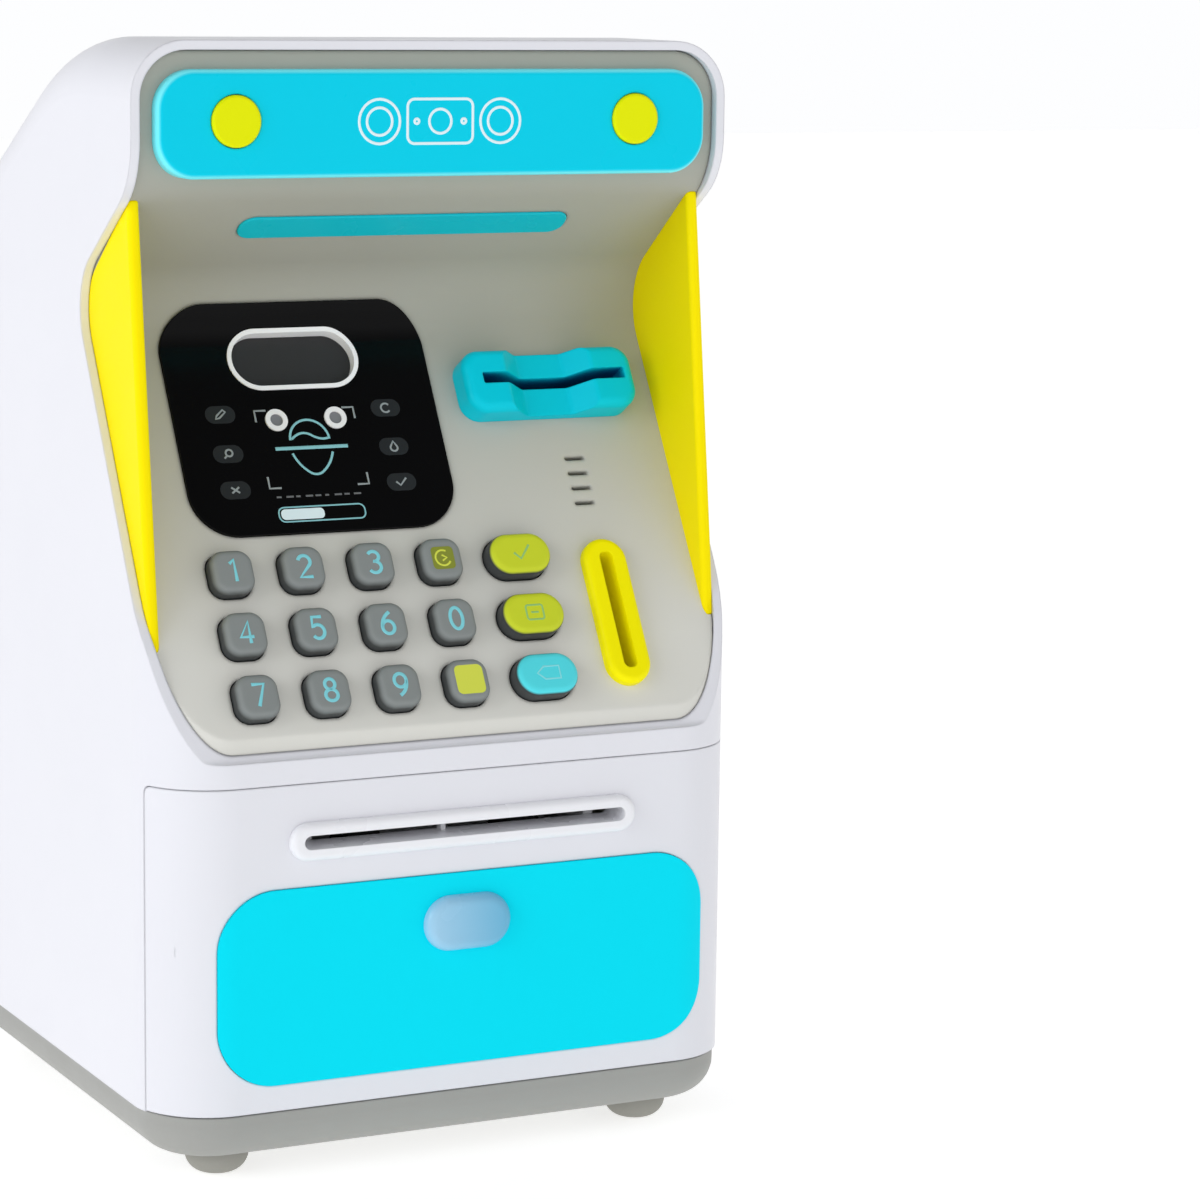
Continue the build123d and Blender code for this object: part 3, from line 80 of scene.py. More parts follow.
# ---------------------------------------------------------------- node helpers
class Look:
    """A Principled material that is built up step by step."""

    def __init__(self, name, color, rough, edge=0.35, metal=0.0, coat=0.0, specular=0.5):
        self.material = bpy.data.materials.new(name)
        self.material.use_nodes = True
        self.tree = self.material.node_tree
        self.shader = self.tree.nodes["Principled BSDF"]
        self.shader.inputs["Base Color"].default_value = color
        self.shader.inputs["Roughness"].default_value = rough
        self.shader.inputs["Metallic"].default_value = metal
        self.shader.inputs["Coat Weight"].default_value = coat
        self.shader.inputs["Coat Roughness"].default_value = 0.12
        self.shader.inputs["Specular IOR Level"].default_value = specular
        self.coords = self.add("ShaderNodeTexCoord").outputs["Object"]
        self.color = None
        self.normal = None
        self.base = color
        if edge:
            bevel = self.add("ShaderNodeBevel")
            bevel.samples = 6
            bevel.inputs["Radius"].default_value = edge * MM
            self.normal = bevel.outputs["Normal"]
            self.link(self.normal, self.shader.inputs["Normal"])

    def add(self, kind):
        """A new node of a kind in this material."""
        return self.tree.nodes.new(kind)

    def link(self, source, target):
        """Joins an output socket to an input socket."""
        self.tree.links.new(source, target)

    def noise(self, scale, detail=3.0, roughness=0.55, stretch=None):
        """Noise in object space; scale is in features per metre."""
        node = self.add("ShaderNodeTexNoise")
        node.inputs["Scale"].default_value = scale
        node.inputs["Detail"].default_value = detail
        node.inputs["Roughness"].default_value = roughness
        source = self.coords
        if stretch:
            mapping = self.add("ShaderNodeMapping")
            mapping.inputs["Scale"].default_value = stretch
            self.link(source, mapping.inputs["Vector"])
            source = mapping.outputs["Vector"]
        self.link(source, node.inputs["Vector"])
        return node.outputs["Fac"]

    def ramp(self, source, low, high, from_low=0.3, from_high=0.7):
        """Runs from low to high while the source runs from from_low to from_high."""
        node = self.add("ShaderNodeMapRange")
        node.inputs["From Min"].default_value = from_low
        node.inputs["From Max"].default_value = from_high
        node.inputs["To Min"].default_value = low
        node.inputs["To Max"].default_value = high
        self.link(source, node.inputs["Value"])
        return node.outputs["Result"]

    def math(self, operation, first, second):
        """Arithmetic on two values, each a number or an output socket."""
        node = self.add("ShaderNodeMath")
        node.operation = operation
        for socket, value in zip(node.inputs, (first, second)):
            if isinstance(value, (int, float)):
                socket.default_value = value
            else:
                self.link(value, socket)
        return node.outputs["Value"]

    def paint(self, mask, color):
        """Mixes a colour over what is there, where the mask is 1."""
        node = self.add("ShaderNodeMix")
        node.data_type = "RGBA"
        self.link(mask, node.inputs["Factor"])
        if self.color is None:
            node.inputs["A"].default_value = self.base
        else:
            self.link(self.color, node.inputs["A"])
        node.inputs["B"].default_value = color
        self.color = node.outputs["Result"]
        self.link(self.color, self.shader.inputs["Base Color"])
        return self

    def mottle(self, scale, amount):
        """A faint change of tone, as moulded plastic has."""
        dark = tuple(c * (1 - amount) for c in self.base[:3]) + (1.0,)
        return self.paint(self.ramp(self.noise(scale), 0.0, 1.0), dark)

    def bump(self, source, height, strength=1.0):
        """Raises the surface by a height in millimetres where the source is 1."""
        node = self.add("ShaderNodeBump")
        node.inputs["Distance"].default_value = height * MM
        node.inputs["Strength"].default_value = strength
        self.link(source, node.inputs["Height"])
        if self.normal is not None:
            self.link(self.normal, node.inputs["Normal"])
        self.normal = node.outputs["Normal"]
        self.link(self.normal, self.shader.inputs["Normal"])
        return self

    def sheen_map(self, scale, low, high):
        """Roughness that wanders a little between two values."""
        self.link(self.ramp(self.noise(scale), low, high), self.shader.inputs["Roughness"])
        return self

    def edge_highlight(self, color, direction):
        """Paints a highlight on the rounded edges, where the surface turns away from a direction."""
        facing = self.add("ShaderNodeVectorMath")
        facing.operation = "DOT_PRODUCT"
        self.link(self.add("ShaderNodeNewGeometry").outputs["Normal"], facing.inputs[0])
        facing.inputs[1].default_value = direction
        return self.paint(self.ramp(facing.outputs["Value"], 1.0, 0.0, 0.75, 0.97), color)

    def occlusion_shade(self, color, reach, deepest=0.3, open_share=0.55):
        """Paints shade over what lies deep in a slot, found by how enclosed a point is."""
        occlusion_node = self.add("ShaderNodeAmbientOcclusion")
        occlusion_node.samples = 12
        occlusion_node.only_local = True
        occlusion_node.inputs["Distance"].default_value = reach * MM
        return self.paint(self.ramp(occlusion_node.outputs["AO"], 1.0, 0.0, deepest, open_share), color)

    def step(self, source, place, width=EDGE_WIDTH):
        """0 below a place on the source and 1 above it, over a short width."""
        return self.ramp(source, 0.0, 1.0, place, place + width)

    def along(self, direction, offset=0.0):
        """Distance in metres of the surface point along a direction, less an offset."""
        node = self.add("ShaderNodeVectorMath")
        node.operation = "DOT_PRODUCT"
        self.link(self.coords, node.inputs[0])
        node.inputs[1].default_value = direction
        return self.math("SUBTRACT", node.outputs["Value"], offset)

    def above_slope(self):
        """Height in metres of the surface point above the console's plane."""
        return self.along(tuple(OUT_OF_SLOPE), OUT_OF_SLOPE.dot(SLOPE_ORIGIN))


# ---------------------------------------------------------------- kinds of surface
def satin(name, color, rough=0.36, edge=0.4, coat=0.0, grain=0.012, specular=0.25):
    """Smooth moulded plastic: slight tone drift, a breath of grain, softened edges."""
    look = Look(name, color, rough, edge=edge, coat=coat, specular=specular)
    look.mottle(9.0, 0.02)
    look.sheen_map(60.0, rough - 0.05, rough + 0.05)
    look.bump(look.noise(1500.0, 2.0), grain)
    return look


def textured(name, color, rough=0.55, edge=0.4, grain=0.03, specular=0.25):
    """Plastic from a spark-eroded mould: matt, with a fine even texture."""
    look = Look(name, color, rough, edge=edge, specular=specular)
    look.mottle(14.0, 0.03)
    look.sheen_map(90.0, rough - 0.05, rough + 0.07)
    look.bump(look.noise(2600.0, 4.0, 0.7), grain)
    return look


EVEN = (1, 1, 1)
ALONG_X = (12, 1, 1)
ALONG_Z = (1, 1, 12)


def steel(name, color, rough, stretch=EVEN):
    """Metal with fine marks, even or drawn out in a direction."""
    look = Look(name, color, rough, edge=0.15, metal=1.0)
    grain = look.noise(900.0, 3.0, 0.6, stretch)
    look.link(look.ramp(grain, rough - 0.08, rough + 0.12), look.shader.inputs["Roughness"])
    look.bump(grain, 0.006)
    return look


def ink(name, color, rough=0.4):
    """Printing ink: smooth and nearly without shine."""
    return satin(name, color, rough, edge=0.0, grain=0.002, specular=0.1)


def key_body(name, top, edge_height, blur):
    """A key whose sides are darker than its top; the change sits at a height above the console."""
    look = textured(name, KEY_SIDE, 0.45, edge=0.35, grain=0.015, specular=0.2)
    mask = look.ramp(look.above_slope(), 0.0, 1.0, (edge_height - blur) * MM, (edge_height + blur) * MM)
    look.paint(mask, top)
    return look


# ---------------------------------------------------------------- looks of the CAD nodes
KEY_SIDE = srgb(62, 65, 66)
KEY_FACE = srgb(136, 141, 140)
KEY_CHANGE = (2.5, 0.7)                  # height of the change of tone and half its width, in millimetres
PILL_CHANGE = (3.2, 0.22)
looks = {
    "shell_white": satin("shell_white", srgb(228, 228, 234), 0.34, edge=0.6, specular=0.35),
    "cover_white": textured("cover_white", srgb(236, 236, 242), 0.5),
    "bezel_white": satin("bezel_white", srgb(238, 238, 242), 0.3, edge=0.3, specular=0.35),
    "base_grey": textured("base_grey", srgb(160, 160, 156), 0.5, edge=0.5),
    "feet_grey": textured("feet_grey", srgb(152, 151, 144), 0.7, edge=0.0),
    "inner_white": textured("inner_white", srgb(222, 222, 224), 0.5, edge=0.25),
    "contact_steel": steel("contact_steel", srgb(215, 212, 200), 0.25, ALONG_Z),
    "screw_steel": steel("screw_steel", srgb(190, 190, 190), 0.35),
    "wing_yellow": satin("wing_yellow", srgb(255, 234, 0), 0.45, edge=0.4, specular=0.05),
    "cap_yellow": satin("cap_yellow", srgb(230, 236, 0), 0.32, edge=0.2, specular=0.08),
    "strip_cyan": satin("strip_cyan", srgb(25, 190, 206), 0.28, edge=0.1, grain=0.004, specular=0.08),
    "ring_white": satin("ring_white", srgb(252, 252, 254), 0.3, edge=0.1),
    "window_dark": satin("window_dark", srgb(56, 56, 57), 0.3, edge=0.0, grain=0.002, specular=0.12),
    "coin_yellow": satin("coin_yellow", srgb(255, 244, 0), 0.36, edge=0.3, specular=0.08),
    "membrane_rubber": textured("membrane_rubber", srgb(150, 150, 152), 0.7, edge=0.0),
    "liner_grey": textured("liner_grey", srgb(158, 156, 170), 0.55, edge=0.3),
    "pin_steel": steel("pin_steel", srgb(200, 200, 200), 0.25, ALONG_Z),
    "spring_steel": steel("spring_steel", srgb(190, 190, 190), 0.25),
    "plate_cyan": satin("plate_cyan", srgb(0, 226, 246), 0.45, edge=0.15, specular=0.05),
    "tyre_rubber": textured("tyre_rubber", srgb(38, 38, 38), 0.8, edge=0.0, grain=0.05),
    "roller_grey": textured("roller_grey", srgb(140, 140, 140), 0.5, edge=0.1),
    "gear_nylon": satin("gear_nylon", srgb(232, 229, 216), 0.45, edge=0.08),
    "gear_brass": steel("gear_brass", srgb(214, 176, 96), 0.28, ALONG_X),
    "motor_steel": steel("motor_steel", srgb(188, 188, 188), 0.3, ALONG_X),
    "card_cyan": satin("card_cyan", srgb(0, 205, 232), 0.45, edge=0.2, specular=0.15),
    "key_grey": key_body("key_grey", KEY_FACE, *KEY_CHANGE),
    "key_icon": key_body("key_icon", KEY_FACE, *KEY_CHANGE),
    "key_lime": key_body("key_lime", KEY_FACE, *KEY_CHANGE),
    "pill_lime": key_body("pill_lime", srgb(204, 216, 44), *PILL_CHANGE),
    "pill_cyan": key_body("pill_cyan", srgb(84, 222, 232), *PILL_CHANGE),
    "speaker_black": textured("speaker_black", srgb(34, 34, 36), 0.6, edge=0.2),
}

# console moulding: painted shade, darker under the hood than around the keys
UNSHADED_UP_TO = 100 * MM
FULL_SHADE_FROM = 160 * MM
fascia = textured("fascia_grey", srgb(222, 221, 214), 0.5, edge=1.2, grain=0.02)
hood_shade_mask = fascia.ramp(fascia.along((0, 0, 1)), 0.0, 1.0, UNSHADED_UP_TO, FULL_SHADE_FROM)
fascia.paint(hood_shade_mask, srgb(170, 170, 160))
looks["fascia_grey"] = fascia

# card reader: painted shade takes its slot down to deep blue
reader = satin("reader_cyan", srgb(0, 208, 230), 0.36, edge=0.5, specular=0.1)
reader.occlusion_shade(srgb(0, 84, 140), reach=5.0)
looks["reader_cyan"] = reader

# sign: a painted highlight on the rim, round a deeper face
sign = satin("sign_cyan", srgb(0, 208, 234), 0.3, edge=0.6, grain=0.004, specular=0.08)
sign.edge_highlight(srgb(120, 240, 250), (0, -1, 0))
looks["sign_cyan"] = sign

# the door's pull: pale blue, with painted shade making it deeper to the right
PULL_LEFT, PULL_RIGHT = -7 * MM, 8 * MM
pull = satin("pull_blue", srgb(158, 204, 232), 0.25, edge=0.0, coat=0.2, grain=0.003, specular=0.25)
pull.paint(pull.ramp(pull.along((1, 0, 0)), 0.0, 1.0, PULL_LEFT, PULL_RIGHT), srgb(104, 178, 212))
looks["pull_blue"] = pull

# black screen: smooth, with a weak reflection and the faintest orange peel
screen = Look("screen_black", srgb(5, 5, 6), 0.16, edge=0.2, specular=0.1)
screen.mottle(30.0, 0.3)
screen.bump(screen.noise(160.0, 2.0), 0.006)
looks["screen_black"] = screen

# white lamps with a grey lens sunk in the middle
LENS_UP_TO, WHITE_FROM = 0.6 * MM, 0.75 * MM
lamp = satin("lamp_white", srgb(244, 244, 244), 0.25, edge=0.1)
lamp.paint(lamp.ramp(lamp.above_slope(), 1.0, 0.0, LENS_UP_TO, WHITE_FROM), srgb(128, 130, 134))
looks["lamp_white"] = lamp

# dry cells: a plain two-colour sleeve, and steel at the right-hand end
BAND_X, CAP_X = 9.0 * MM, 23.4 * MM
cell = Look("battery_steel", srgb(40, 42, 46), 0.3, edge=0.2, coat=0.3)
cell_x = cell.along((1, 0, 0))
cell.paint(cell.step(cell_x, BAND_X), srgb(226, 150, 40))
cell.paint(cell.step(cell_x, CAP_X), srgb(196, 196, 196))
cell.sheen_map(40.0, 0.22, 0.34)
looks["battery_steel"] = cell

# circuit board: green solder mask, lighter over its tracks, with black components behind
BOARD_BACK = -10.4 * MM                  # height above the console's plane
board = Look("board_green", srgb(28, 92, 48), 0.35, edge=0.1, coat=0.3)
tracks = board.math("GREATER_THAN", board.noise(420.0, 0.0, 0.5, (1, 0.2, 1)), 0.56)
board.paint(tracks, srgb(52, 128, 66))
behind = board.ramp(board.above_slope(), 1.0, 0.0, BOARD_BACK, BOARD_BACK + EDGE_WIDTH / 2)
board.paint(behind, srgb(30, 30, 32))
board.bump(tracks, 0.03)
looks["board_green"] = board

# solenoid: zinc bracket, copper-coloured winding in between
WINDING_LOW, WINDING_HIGH = 52.5 * MM, 67.4 * MM
coil = steel("solenoid_steel", srgb(190, 190, 192), 0.35)
coil_z = coil.along((0, 0, 1))
below_top = coil.ramp(coil_z, 1.0, 0.0, WINDING_HIGH, WINDING_HIGH + EDGE_WIDTH)
coil.paint(coil.math("MULTIPLY", coil.step(coil_z, WINDING_LOW), below_top), srgb(190, 104, 52))
looks["solenoid_steel"] = coil

# printed card under a clear film
card = satin("card_yellow", srgb(240, 200, 30), 0.2, edge=0.1, coat=0.6, grain=0.002)
card_wave = card.noise(40.0, 1.0, 0.4, (1, 2, 1))
card.paint(card.ramp(card_wave, 0.0, 1.0, 0.5, 0.53), srgb(226, 176, 16))
looks["card_yellow"] = card

slot_of = {entry["node"]: entry["material_slot"] for entry in frame["record"]["subparts"]}
for node, thing in frame["nodes"].items():
    look = looks[slot_of[node]]
    if not thing.material_slots:
        thing.data.materials.append(look.material)
    for material_slot in thing.material_slots:
        material_slot.material = look.material

# the latch spring, which on the bank shortens as the bolt comes down on it: here a copy with its own mesh,
# riding on the casing in place of the CAD node
spring = bpy.data.objects.new("spring_coil", frame["nodes"]["latch_spring"].data.copy())
bpy.context.collection.objects.link(spring)
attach(spring, "casing")
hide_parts("latch_spring")
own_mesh(spring)


# ---------------------------------------------------------------- printed marks
def plane(origin, across, up):
    """Matrix of a flat plane: x across, y up, z out of the surface."""
    across = Vector(across).normalized()
    up = Vector(up).normalized()
    out = across.cross(up)
    rows = Matrix((across, up, out)).transposed().to_4x4()
    return Matrix.Translation(Vector(origin)) @ rows


def slope_plane(height):
    """Console plane at a height in millimetres; x is X and y runs up the slope."""
    return plane(SLOPE_ORIGIN + OUT_OF_SLOPE * height * MM, (1, 0, 0), UP_SLOPE)


def as_piece(name, curve, matrix, thickness, look, body):
    """Turns a flat curve into a mesh piece of a thickness in millimetres that rides on a body."""
    drawn = bpy.data.objects.new(name + "_curve", curve)
    bpy.context.collection.objects.link(drawn)
    bpy.context.view_layer.update()
    mesh = bpy.data.meshes.new_from_object(drawn.evaluated_get(bpy.context.evaluated_depsgraph_get()))
    bpy.data.objects.remove(drawn)
    deepest = max(abs(v.co.z) for v in mesh.vertices)
    for vertex in mesh.vertices:
        vertex.co.z *= thickness / 2 / deepest
        vertex.co = matrix @ (vertex.co * MM)
    piece = bpy.data.objects.new(name, mesh)
    bpy.context.collection.objects.link(piece)
    mesh.materials.clear()
    mesh.materials.append(look.material)
    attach(piece, body)


def add_outline(curve, points, closed):
    """Adds a straight-sided line through flat points to a curve."""
    spline = curve.splines.new("POLY")
    spline.points.add(len(points) - 1)
    for target, (x, y) in zip(spline.points, points):
        target.co = (x, y, 0, 1)
    spline.use_cyclic_u = closed


def strokes(name, lines, width, matrix, look, body, thickness=0.12):
    """Round-ended printed lines. Each line is (points, closed), in millimetres on the plane."""
    curve = bpy.data.curves.new(name + "_curve", "CURVE")
    curve.dimensions = "3D"
    curve.bevel_depth = width / 2
    curve.bevel_resolution = 3
    curve.use_fill_caps = True
    for points, closed in lines:
        add_outline(curve, points, closed)
    as_piece(name, curve, matrix, thickness, look, body)


def filled(name, outlines, matrix, look, body, thickness=0.08):
    """Solid printed shapes; an outline inside another is a hole."""
    curve = bpy.data.curves.new(name + "_curve", "CURVE")
    curve.dimensions = "2D"
    curve.fill_mode = "BOTH"
    curve.extrude = 0.05
    for points in outlines:
        add_outline(curve, points, True)
    as_piece(name, curve, matrix, thickness, look, body)


def arc(cx, cy, rx, ry, start, end, count=14):
    """Points on an ellipse between two angles in degrees."""
    points = []
    for i in range(count + 1):
        a = math.radians(start + (end - start) * i / count)
        points.append((cx + rx * math.cos(a), cy + ry * math.sin(a)))
    return points


def ring(cx, cy, rx, ry, count=32):
    """Points round a whole ellipse."""
    return arc(cx, cy, rx, ry, 0, 360 * (count - 1) / count, count - 1)


def sweep(start, middle, end, count=10):
    """Points on a quadratic curve."""
    points = []
    for i in range(count + 1):
        t = i / count
        weights = ((1 - t) ** 2, 2 * t * (1 - t), t * t)
        points.append(tuple(sum(w * v for w, v in zip(weights, axis)) for axis in zip(start, middle, end)))
    return points


def rounded(cx, cy, width, height, radius):
    """Outline of a rectangle with round corners."""
    points = []
    for sx, sy, start in ((1, 1, 0), (-1, 1, 90), (-1, -1, 180), (1, -1, 270)):
        middle = (cx + sx * (width / 2 - radius), cy + sy * (height / 2 - radius))
        points += arc(*middle, radius, radius, start, start + 90, 6)
    return points


# numerals one unit high, as pen strokes
DIGITS = {
    "0": [(ring(0, 0.5, 0.29, 0.5), True)],
    "1": [([(-0.16, 0.82), (0.06, 1.0), (0.06, 0.0)], False)],
    "2": [(arc(0, 0.72, 0.28, 0.28, 165, -35) + [(-0.28, 0.0), (0.3, 0.0)], False)],
    "3": [(arc(-0.02, 0.76, 0.26, 0.24, 150, -90) + arc(-0.02, 0.27, 0.29, 0.27, 88, -150), False)],
    "4": [([(0.13, 0.0), (0.13, 1.0), (-0.3, 0.3), (0.31, 0.3)], False)],
    "5": [([(0.24, 1.0), (-0.2, 1.0), (-0.24, 0.56)] + arc(-0.01, 0.32, 0.29, 0.32, 125, -145), False)],
    "6": [(ring(0, 0.3, 0.28, 0.3), True), (sweep((0.16, 1.0), (-0.24, 0.78), (-0.28, 0.3)), False)],
    "7": [([(-0.28, 1.0), (0.28, 1.0), (-0.08, 0.0)], False)],
    "8": [(ring(0, 0.76, 0.23, 0.24), True), (ring(0, 0.26, 0.28, 0.26), True)],
    "9": [(ring(0, 0.69, 0.28, 0.31), True), (sweep((0.28, 0.66), (0.26, 0.22), (-0.12, 0.0)), False)],
}

ink_cyan = ink("ink_cyan", srgb(132, 212, 222), 0.45)
ink_patch = ink("ink_patch", srgb(40, 43, 45))
ink_white = ink("ink_white", srgb(226, 244, 248))
ink_soft = ink("ink_soft", srgb(150, 158, 160))
ink_pale = ink("ink_pale", srgb(140, 200, 206))
ink_lime = ink("ink_lime", srgb(216, 223, 84))
ink_olive = ink("ink_olive", srgb(136, 144, 56))
ink_leaf = ink("ink_leaf", srgb(150, 200, 120))
ink_teal = ink("ink_teal", srgb(140, 226, 232))
ink_grey = ink("ink_grey", srgb(110, 112, 114))

# sizes on the console, in millimetres: across from the middle, and up the slope from its foot
COLUMNS = [-41.3 + 14.5 * i for i in range(4)]
ROWS = [11.3 + 12.65 * i for i in range(3)]
LOWER, MIDDLE, UPPER = ROWS
PILL_COLUMN = 18.9
KEY_TOP = 3.4
PILL_TOP = 3.8
NUMERAL_HEIGHT = 4.4
NUMERAL_STROKE = 0.72
FINE = 0.4                               # stroke of the small pictures
THIN = 0.06                              # thickness of the small pictures
OVERPRINT = 0.04                         # how far a second ink lies above the first

key_top = slope_plane(KEY_TOP)
key_overprint = slope_plane(KEY_TOP + OVERPRINT)
pill_top = slope_plane(PILL_TOP)


def placed(lines, x, s, size=1.0):
    """Lines drawn round their own middle, moved to a place and scaled."""
    return [([(x + px * size, s + py * size) for px, py in points], closed) for points, closed in lines]


def numeral(digit, x, s):
    """One numeral in the middle of a key."""
    lines = placed(DIGITS[digit], x, s - NUMERAL_HEIGHT / 2, NUMERAL_HEIGHT)
    strokes("numeral_" + digit, lines, NUMERAL_STROKE, key_top, ink_cyan, "key_" + digit + "_cap")


for digits, row in (("789", LOWER), ("456", MIDDLE), ("123", UPPER)):
    for digit, column in zip(digits, COLUMNS):
        numeral(digit, column, row)
numeral("0", COLUMNS[3], MIDDLE)

# the picture key: a small olive patch with a turned arrow
TURNED_ARROW = [(arc(0, 0, 1.6, 1.6, 60, 330), False), ([(-0.2, 0.6), (0.8, 0), (-0.2, -0.6)], False)]
filled("icon_patch", [rounded(COLUMNS[3], UPPER, 4.7, 4.7, 0.9)], key_top, ink_olive, "key_icon_cap")
turned_arrow = placed(TURNED_ARROW, COLUMNS[3], UPPER)
strokes("icon_arc", turned_arrow, FINE, key_overprint, ink_lime, "key_icon_cap", THIN)

# the lime key: a square patch nearly as large as its top
filled("lime_patch", [rounded(COLUMNS[3], LOWER, 5.9, 5.9, 1.1)], key_top, ink_lime, "key_lime_cap")

# pill keys: a tick, a page and a backwards arrow, toned into their tops
TICK = [([(-1.6, 0), (-0.3, -1.3), (1.9, 1.5)], False)]
PAGE = [(rounded(0, 0, 3.6, 3.0, 0.5), True), ([(-0.8, 0), (0.8, 0)], False)]
BACK = [([(-2.4, 0), (-0.9, 1.3), (2.4, 1.3), (2.4, -1.3), (-0.9, -1.3)], True)]
tick = placed(TICK, PILL_COLUMN, UPPER)
page = placed(PAGE, PILL_COLUMN, MIDDLE)
back = placed(BACK, PILL_COLUMN, LOWER)
strokes("tick_mark", tick, 0.5, pill_top, ink_leaf, "pill_upper_cap", THIN)
strokes("page_mark", page, FINE, pill_top, ink_leaf, "pill_middle_cap", THIN)
strokes("arrow_mark", back, FINE, pill_top, ink_teal, "pill_lower_cap", THIN)

# ---------------------------------------------------------------- screen print
glass = slope_plane(0.62)
above_glass = slope_plane(0.68)
FACE_X, FACE_S = -19.0, 62.3             # middle of the scanned face
BRACKET_X, BRACKET_S = 10.4, 8.2         # from there to the corner brackets
BRACKET_ARM = 2.4

brackets = []
for side, end in ((-1, 1), (1, 1), (1, -1), (-1, -1)):
    corner_x, corner_s = side * BRACKET_X, end * BRACKET_S
    arms = [(corner_x - side * BRACKET_ARM, corner_s), (corner_x, corner_s),
            (corner_x, corner_s - end * BRACKET_ARM)]
    brackets.append((arms, False))
strokes("face_brackets", placed(brackets, FACE_X, FACE_S), 0.45, glass, ink_soft, "casing")

# a plain round head: crown, jaw and a parting, drawn round the middle of the face
crown = arc(0, 1.7, 4.1, 4.2, 0, 180, 18)
jaw = sweep((-4.2, -1.1), (-3.4, -3.7), (-1.2, -5.3))
jaw += sweep((-1.2, -5.3), (0, -6.0), (1.2, -5.3))
jaw += sweep((1.2, -5.3), (3.4, -3.7), (4.2, -1.1))
parting = sweep((-3.8, 1.9), (-1.4, 4.1), (0.8, 2.4)) + sweep((0.8, 2.4), (2.4, 1.5), (3.8, 1.9))
head = placed([(crown, False), (jaw, False), (parting, False)], FACE_X, FACE_S)
strokes("face_outline", head, 0.5, glass, ink_pale, "casing")
scan_line = placed([([(-7.6, 0), (7.6, 0)], False)], FACE_X, FACE_S)
strokes("scan_line", scan_line, 0.75, above_glass, ink_pale, "casing")

# a line of dashes where a status would be, and a bar that fills from the left
STATUS_LEFT, STATUS_S, DASH_PITCH = -28.4, 52.2, 2.02
PROGRESS_S = 48.5
dashes = []
for i, length in enumerate((1.0, 1.5, 0.9, 1.5, 1.2, 0.8, 1.5, 1.1, 1.5)):
    start = STATUS_LEFT + i * DASH_PITCH
    dashes.append(([(start, STATUS_S), (start + length, STATUS_S)], False))
strokes("status_dashes", dashes, FINE, glass, ink_grey, "casing")
bar = [(rounded(-19.65, PROGRESS_S, 18.0, 3.0, 1.2), True)]
strokes("progress_frame", bar, 0.32, glass, ink_pale, "casing")
filled("progress_fill", [rounded(-23.7, PROGRESS_S, 9.0, 2.2, 0.9)], glass, ink_white, "casing")


def touch_key(name, x, s, glyph):
    """A dim pad on the screen with a small picture drawn round its middle."""
    filled("touch_key_" + name, [rounded(x, s, 6.2, 3.7, 1.8)], glass, ink_patch, "casing")
    strokes("touch_glyph_" + name, placed(glyph, x, s), FINE, above_glass, ink_soft, "casing", THIN)


PEN = [([(-1.1, -0.9), (-0.8, -0.2), (0.6, 1.0), (1.1, 0.5), (-0.3, -0.7)], True)]
LENS = [(ring(0.2, 0.2, 0.7, 0.7), True), ([(-0.3, -0.3), (-0.9, -0.9)], False)]
CROSS = [([(-0.8, -0.6), (0.8, 0.6)], False), ([(-0.8, 0.6), (0.8, -0.6)], False)]
TURN = [(arc(0, 0, 0.95, 0.95, 40, 320), False)]
DROP = [(arc(0, -0.3, 0.75, 0.7, -220, 40, 12) + [(0, 1.1)], True)]
CHECK = [([(-1.1, 0.1), (-0.3, -0.7), (1.1, 0.8)], False)]
TOUCH_LEFT, TOUCH_RIGHT = -36.5, -1.7
TOUCH_ROWS = ((70.0, PEN, TURN), (61.7, LENS, DROP), (54.1, CROSS, CHECK))
for index, (row, left_glyph, right_glyph) in enumerate(TOUCH_ROWS):
    touch_key("left_" + str(index), TOUCH_LEFT, row, left_glyph)
    touch_key("right_" + str(index), TOUCH_RIGHT, row, right_glyph)

# ---------------------------------------------------------------- sign pictograms
# a banknote between two coins
SIGN_BACK = 13.4 * MM                    # how far the sign's face lies behind the front wall
SIGN_MIDDLE = 201.3
COIN_X = 12.6
sign_face = plane((0, FRONT + SIGN_BACK, 0), (1, 0, 0), (0, 0, 1))
marks = [(rounded(0, SIGN_MIDDLE, 13.6, 8.4, 1.4), True), (ring(0, SIGN_MIDDLE, 2.3, 2.3), True)]
for side in (-1, 1):
    marks.append((ring(side * 4.9, SIGN_MIDDLE, 0.45, 0.45), True))
    for radius in (4.2, 2.6):
        marks.append((ring(side * COIN_X, SIGN_MIDDLE, radius, radius), True))
strokes("sign_pictograms", marks, 0.55, sign_face, ink_white, "casing")

# ---------------------------------------------------------------- print on the bank card
GROUP_LEFT, GROUP_PITCH, GROUP_LENGTH = -12.5, 6.8, 4.6
UPPER_BAR, LOWER_BAR = -4.0, -7.6
card_low, card_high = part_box("card_insert")
card_x = (card_low[0] + card_high[0]) / 2 / MM
card_y = (card_low[1] + card_high[1]) / 2 / MM
card_face = plane((0, 0, card_high[2]), (1, 0, 0), (0, 1, 0))
filled("card_chip", [rounded(card_x - 10.5, card_y + 2.2, 6.0, 5.0, 0.8)], card_face, ink_grey, "card")
bars = []
for i in range(4):
    start = GROUP_LEFT + i * GROUP_PITCH
    bars.append(([(start, UPPER_BAR), (start + GROUP_LENGTH, UPPER_BAR)], False))
bars.append(([(GROUP_LEFT, LOWER_BAR), (-2.0, LOWER_BAR)], False))
strokes("card_bars", placed(bars, card_x, card_y), 0.9, card_face, ink_white, "card")

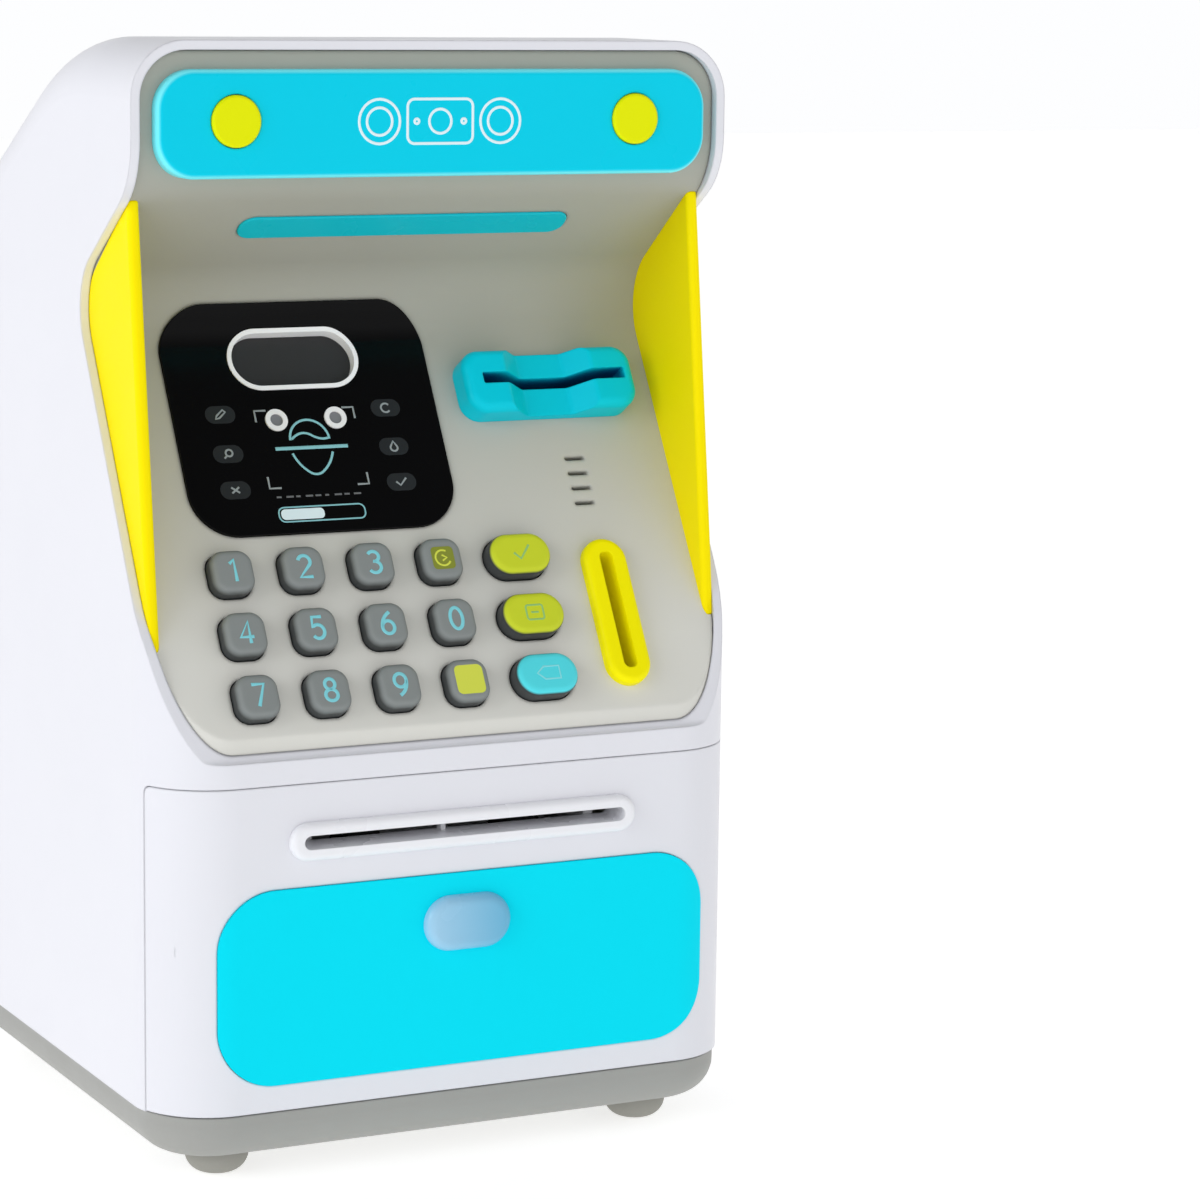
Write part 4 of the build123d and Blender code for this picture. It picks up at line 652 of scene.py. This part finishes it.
# ---------------------------------------------------------------- floor, light and camera
FLOOR_REACH = 4.0
FLOOR_GLOW = 0.6
WHITE = (1.0, 1.0, 1.0, 1.0)
floor_mesh = bpy.data.meshes.new("studio_floor")
corner_signs = ((-1, -1), (1, -1), (1, 1), (-1, 1))
floor_corners = [(side * FLOOR_REACH, end * FLOOR_REACH, 0) for side, end in corner_signs]
floor_mesh.from_pydata(floor_corners, [], [(0, 1, 2, 3)])
floor = bpy.data.objects.new("studio_floor", floor_mesh)
bpy.context.collection.objects.link(floor)
floor_look = Look("studio_floor", (0.8, 0.8, 0.8, 1.0), 0.7, edge=0.0, specular=0.1)
floor_look.shader.inputs["Emission Color"].default_value = WHITE
floor_look.shader.inputs["Emission Strength"].default_value = FLOOR_GLOW
floor_mesh.materials.append(floor_look.material)

scene = bpy.context.scene
scene.view_settings.view_transform = "Standard"

# a light tent: white at eye level, dimmer overhead; heights are those of a direction of length 1
BRIGHT_UP_TO = 0.35
DIM_FROM = 0.75
DIM_SHARE = 0.25
world = bpy.data.worlds.new("studio")
scene.world = world
world.use_nodes = True
tent = world.node_tree
direction = tent.nodes.new("ShaderNodeTexCoord")
parts = tent.nodes.new("ShaderNodeSeparateXYZ")
fall = tent.nodes.new("ShaderNodeMapRange")
fall.inputs["From Min"].default_value = BRIGHT_UP_TO
fall.inputs["From Max"].default_value = DIM_FROM
fall.inputs["To Min"].default_value = 1.0
fall.inputs["To Max"].default_value = DIM_SHARE
tent.links.new(direction.outputs["Generated"], parts.inputs["Vector"])
tent.links.new(parts.outputs["Z"], fall.inputs["Value"])
tent.links.new(fall.outputs["Result"], tent.nodes["Background"].inputs["Strength"])
tent.nodes["Background"].inputs["Color"].default_value = (0.985, 0.99, 1.0, 1.0)


LIT_POINT = Vector((0, 0, 0.12))


def soft_box(name, place, size, power, color):
    """A square area light turned towards the middle of the object."""
    lamp_data = bpy.data.lights.new(name, "AREA")
    lamp_data.shape = "RECTANGLE"
    lamp_data.size = size
    lamp_data.size_y = size
    lamp_data.energy = power
    lamp_data.color = color
    light = bpy.data.objects.new(name, lamp_data)
    bpy.context.collection.objects.link(light)
    light.location = place
    light.rotation_euler = (LIT_POINT - Vector(place)).to_track_quat("-Z", "Y").to_euler()


soft_box("key_light", (-1.8, -0.5, 0.8), size=1.1, power=10.0, color=(0.93, 0.96, 1.0))
soft_box("fill_light", (-0.2, -1.3, 1.5), size=0.8, power=1.2, color=(1.0, 0.99, 0.97))

CAMERA_PLACE = (-0.315456, -0.741893, 0.232455)
YAW, PITCH, ROLL = 0.468919, 0.160425, 0.0131493
camera_data = bpy.data.cameras.new("camera")
camera_data.sensor_width = 36.0
camera_data.lens = 119.15
camera_data.clip_start = 0.05
camera_data.clip_end = 20.0
camera = bpy.data.objects.new("camera", camera_data)
bpy.context.collection.objects.link(camera)
forward = Vector((math.sin(YAW) * math.cos(PITCH), math.cos(YAW) * math.cos(PITCH), -math.sin(PITCH)))
right = Vector((math.cos(YAW), -math.sin(YAW), 0.0))
upward = right.cross(forward)
camera_x = right * math.cos(ROLL) + upward * math.sin(ROLL)
camera_y = upward * math.cos(ROLL) - right * math.sin(ROLL)
turn = Matrix((camera_x, camera_y, -forward)).transposed().to_4x4()
camera.matrix_world = Matrix.Translation(CAMERA_PLACE) @ turn
scene.camera = camera
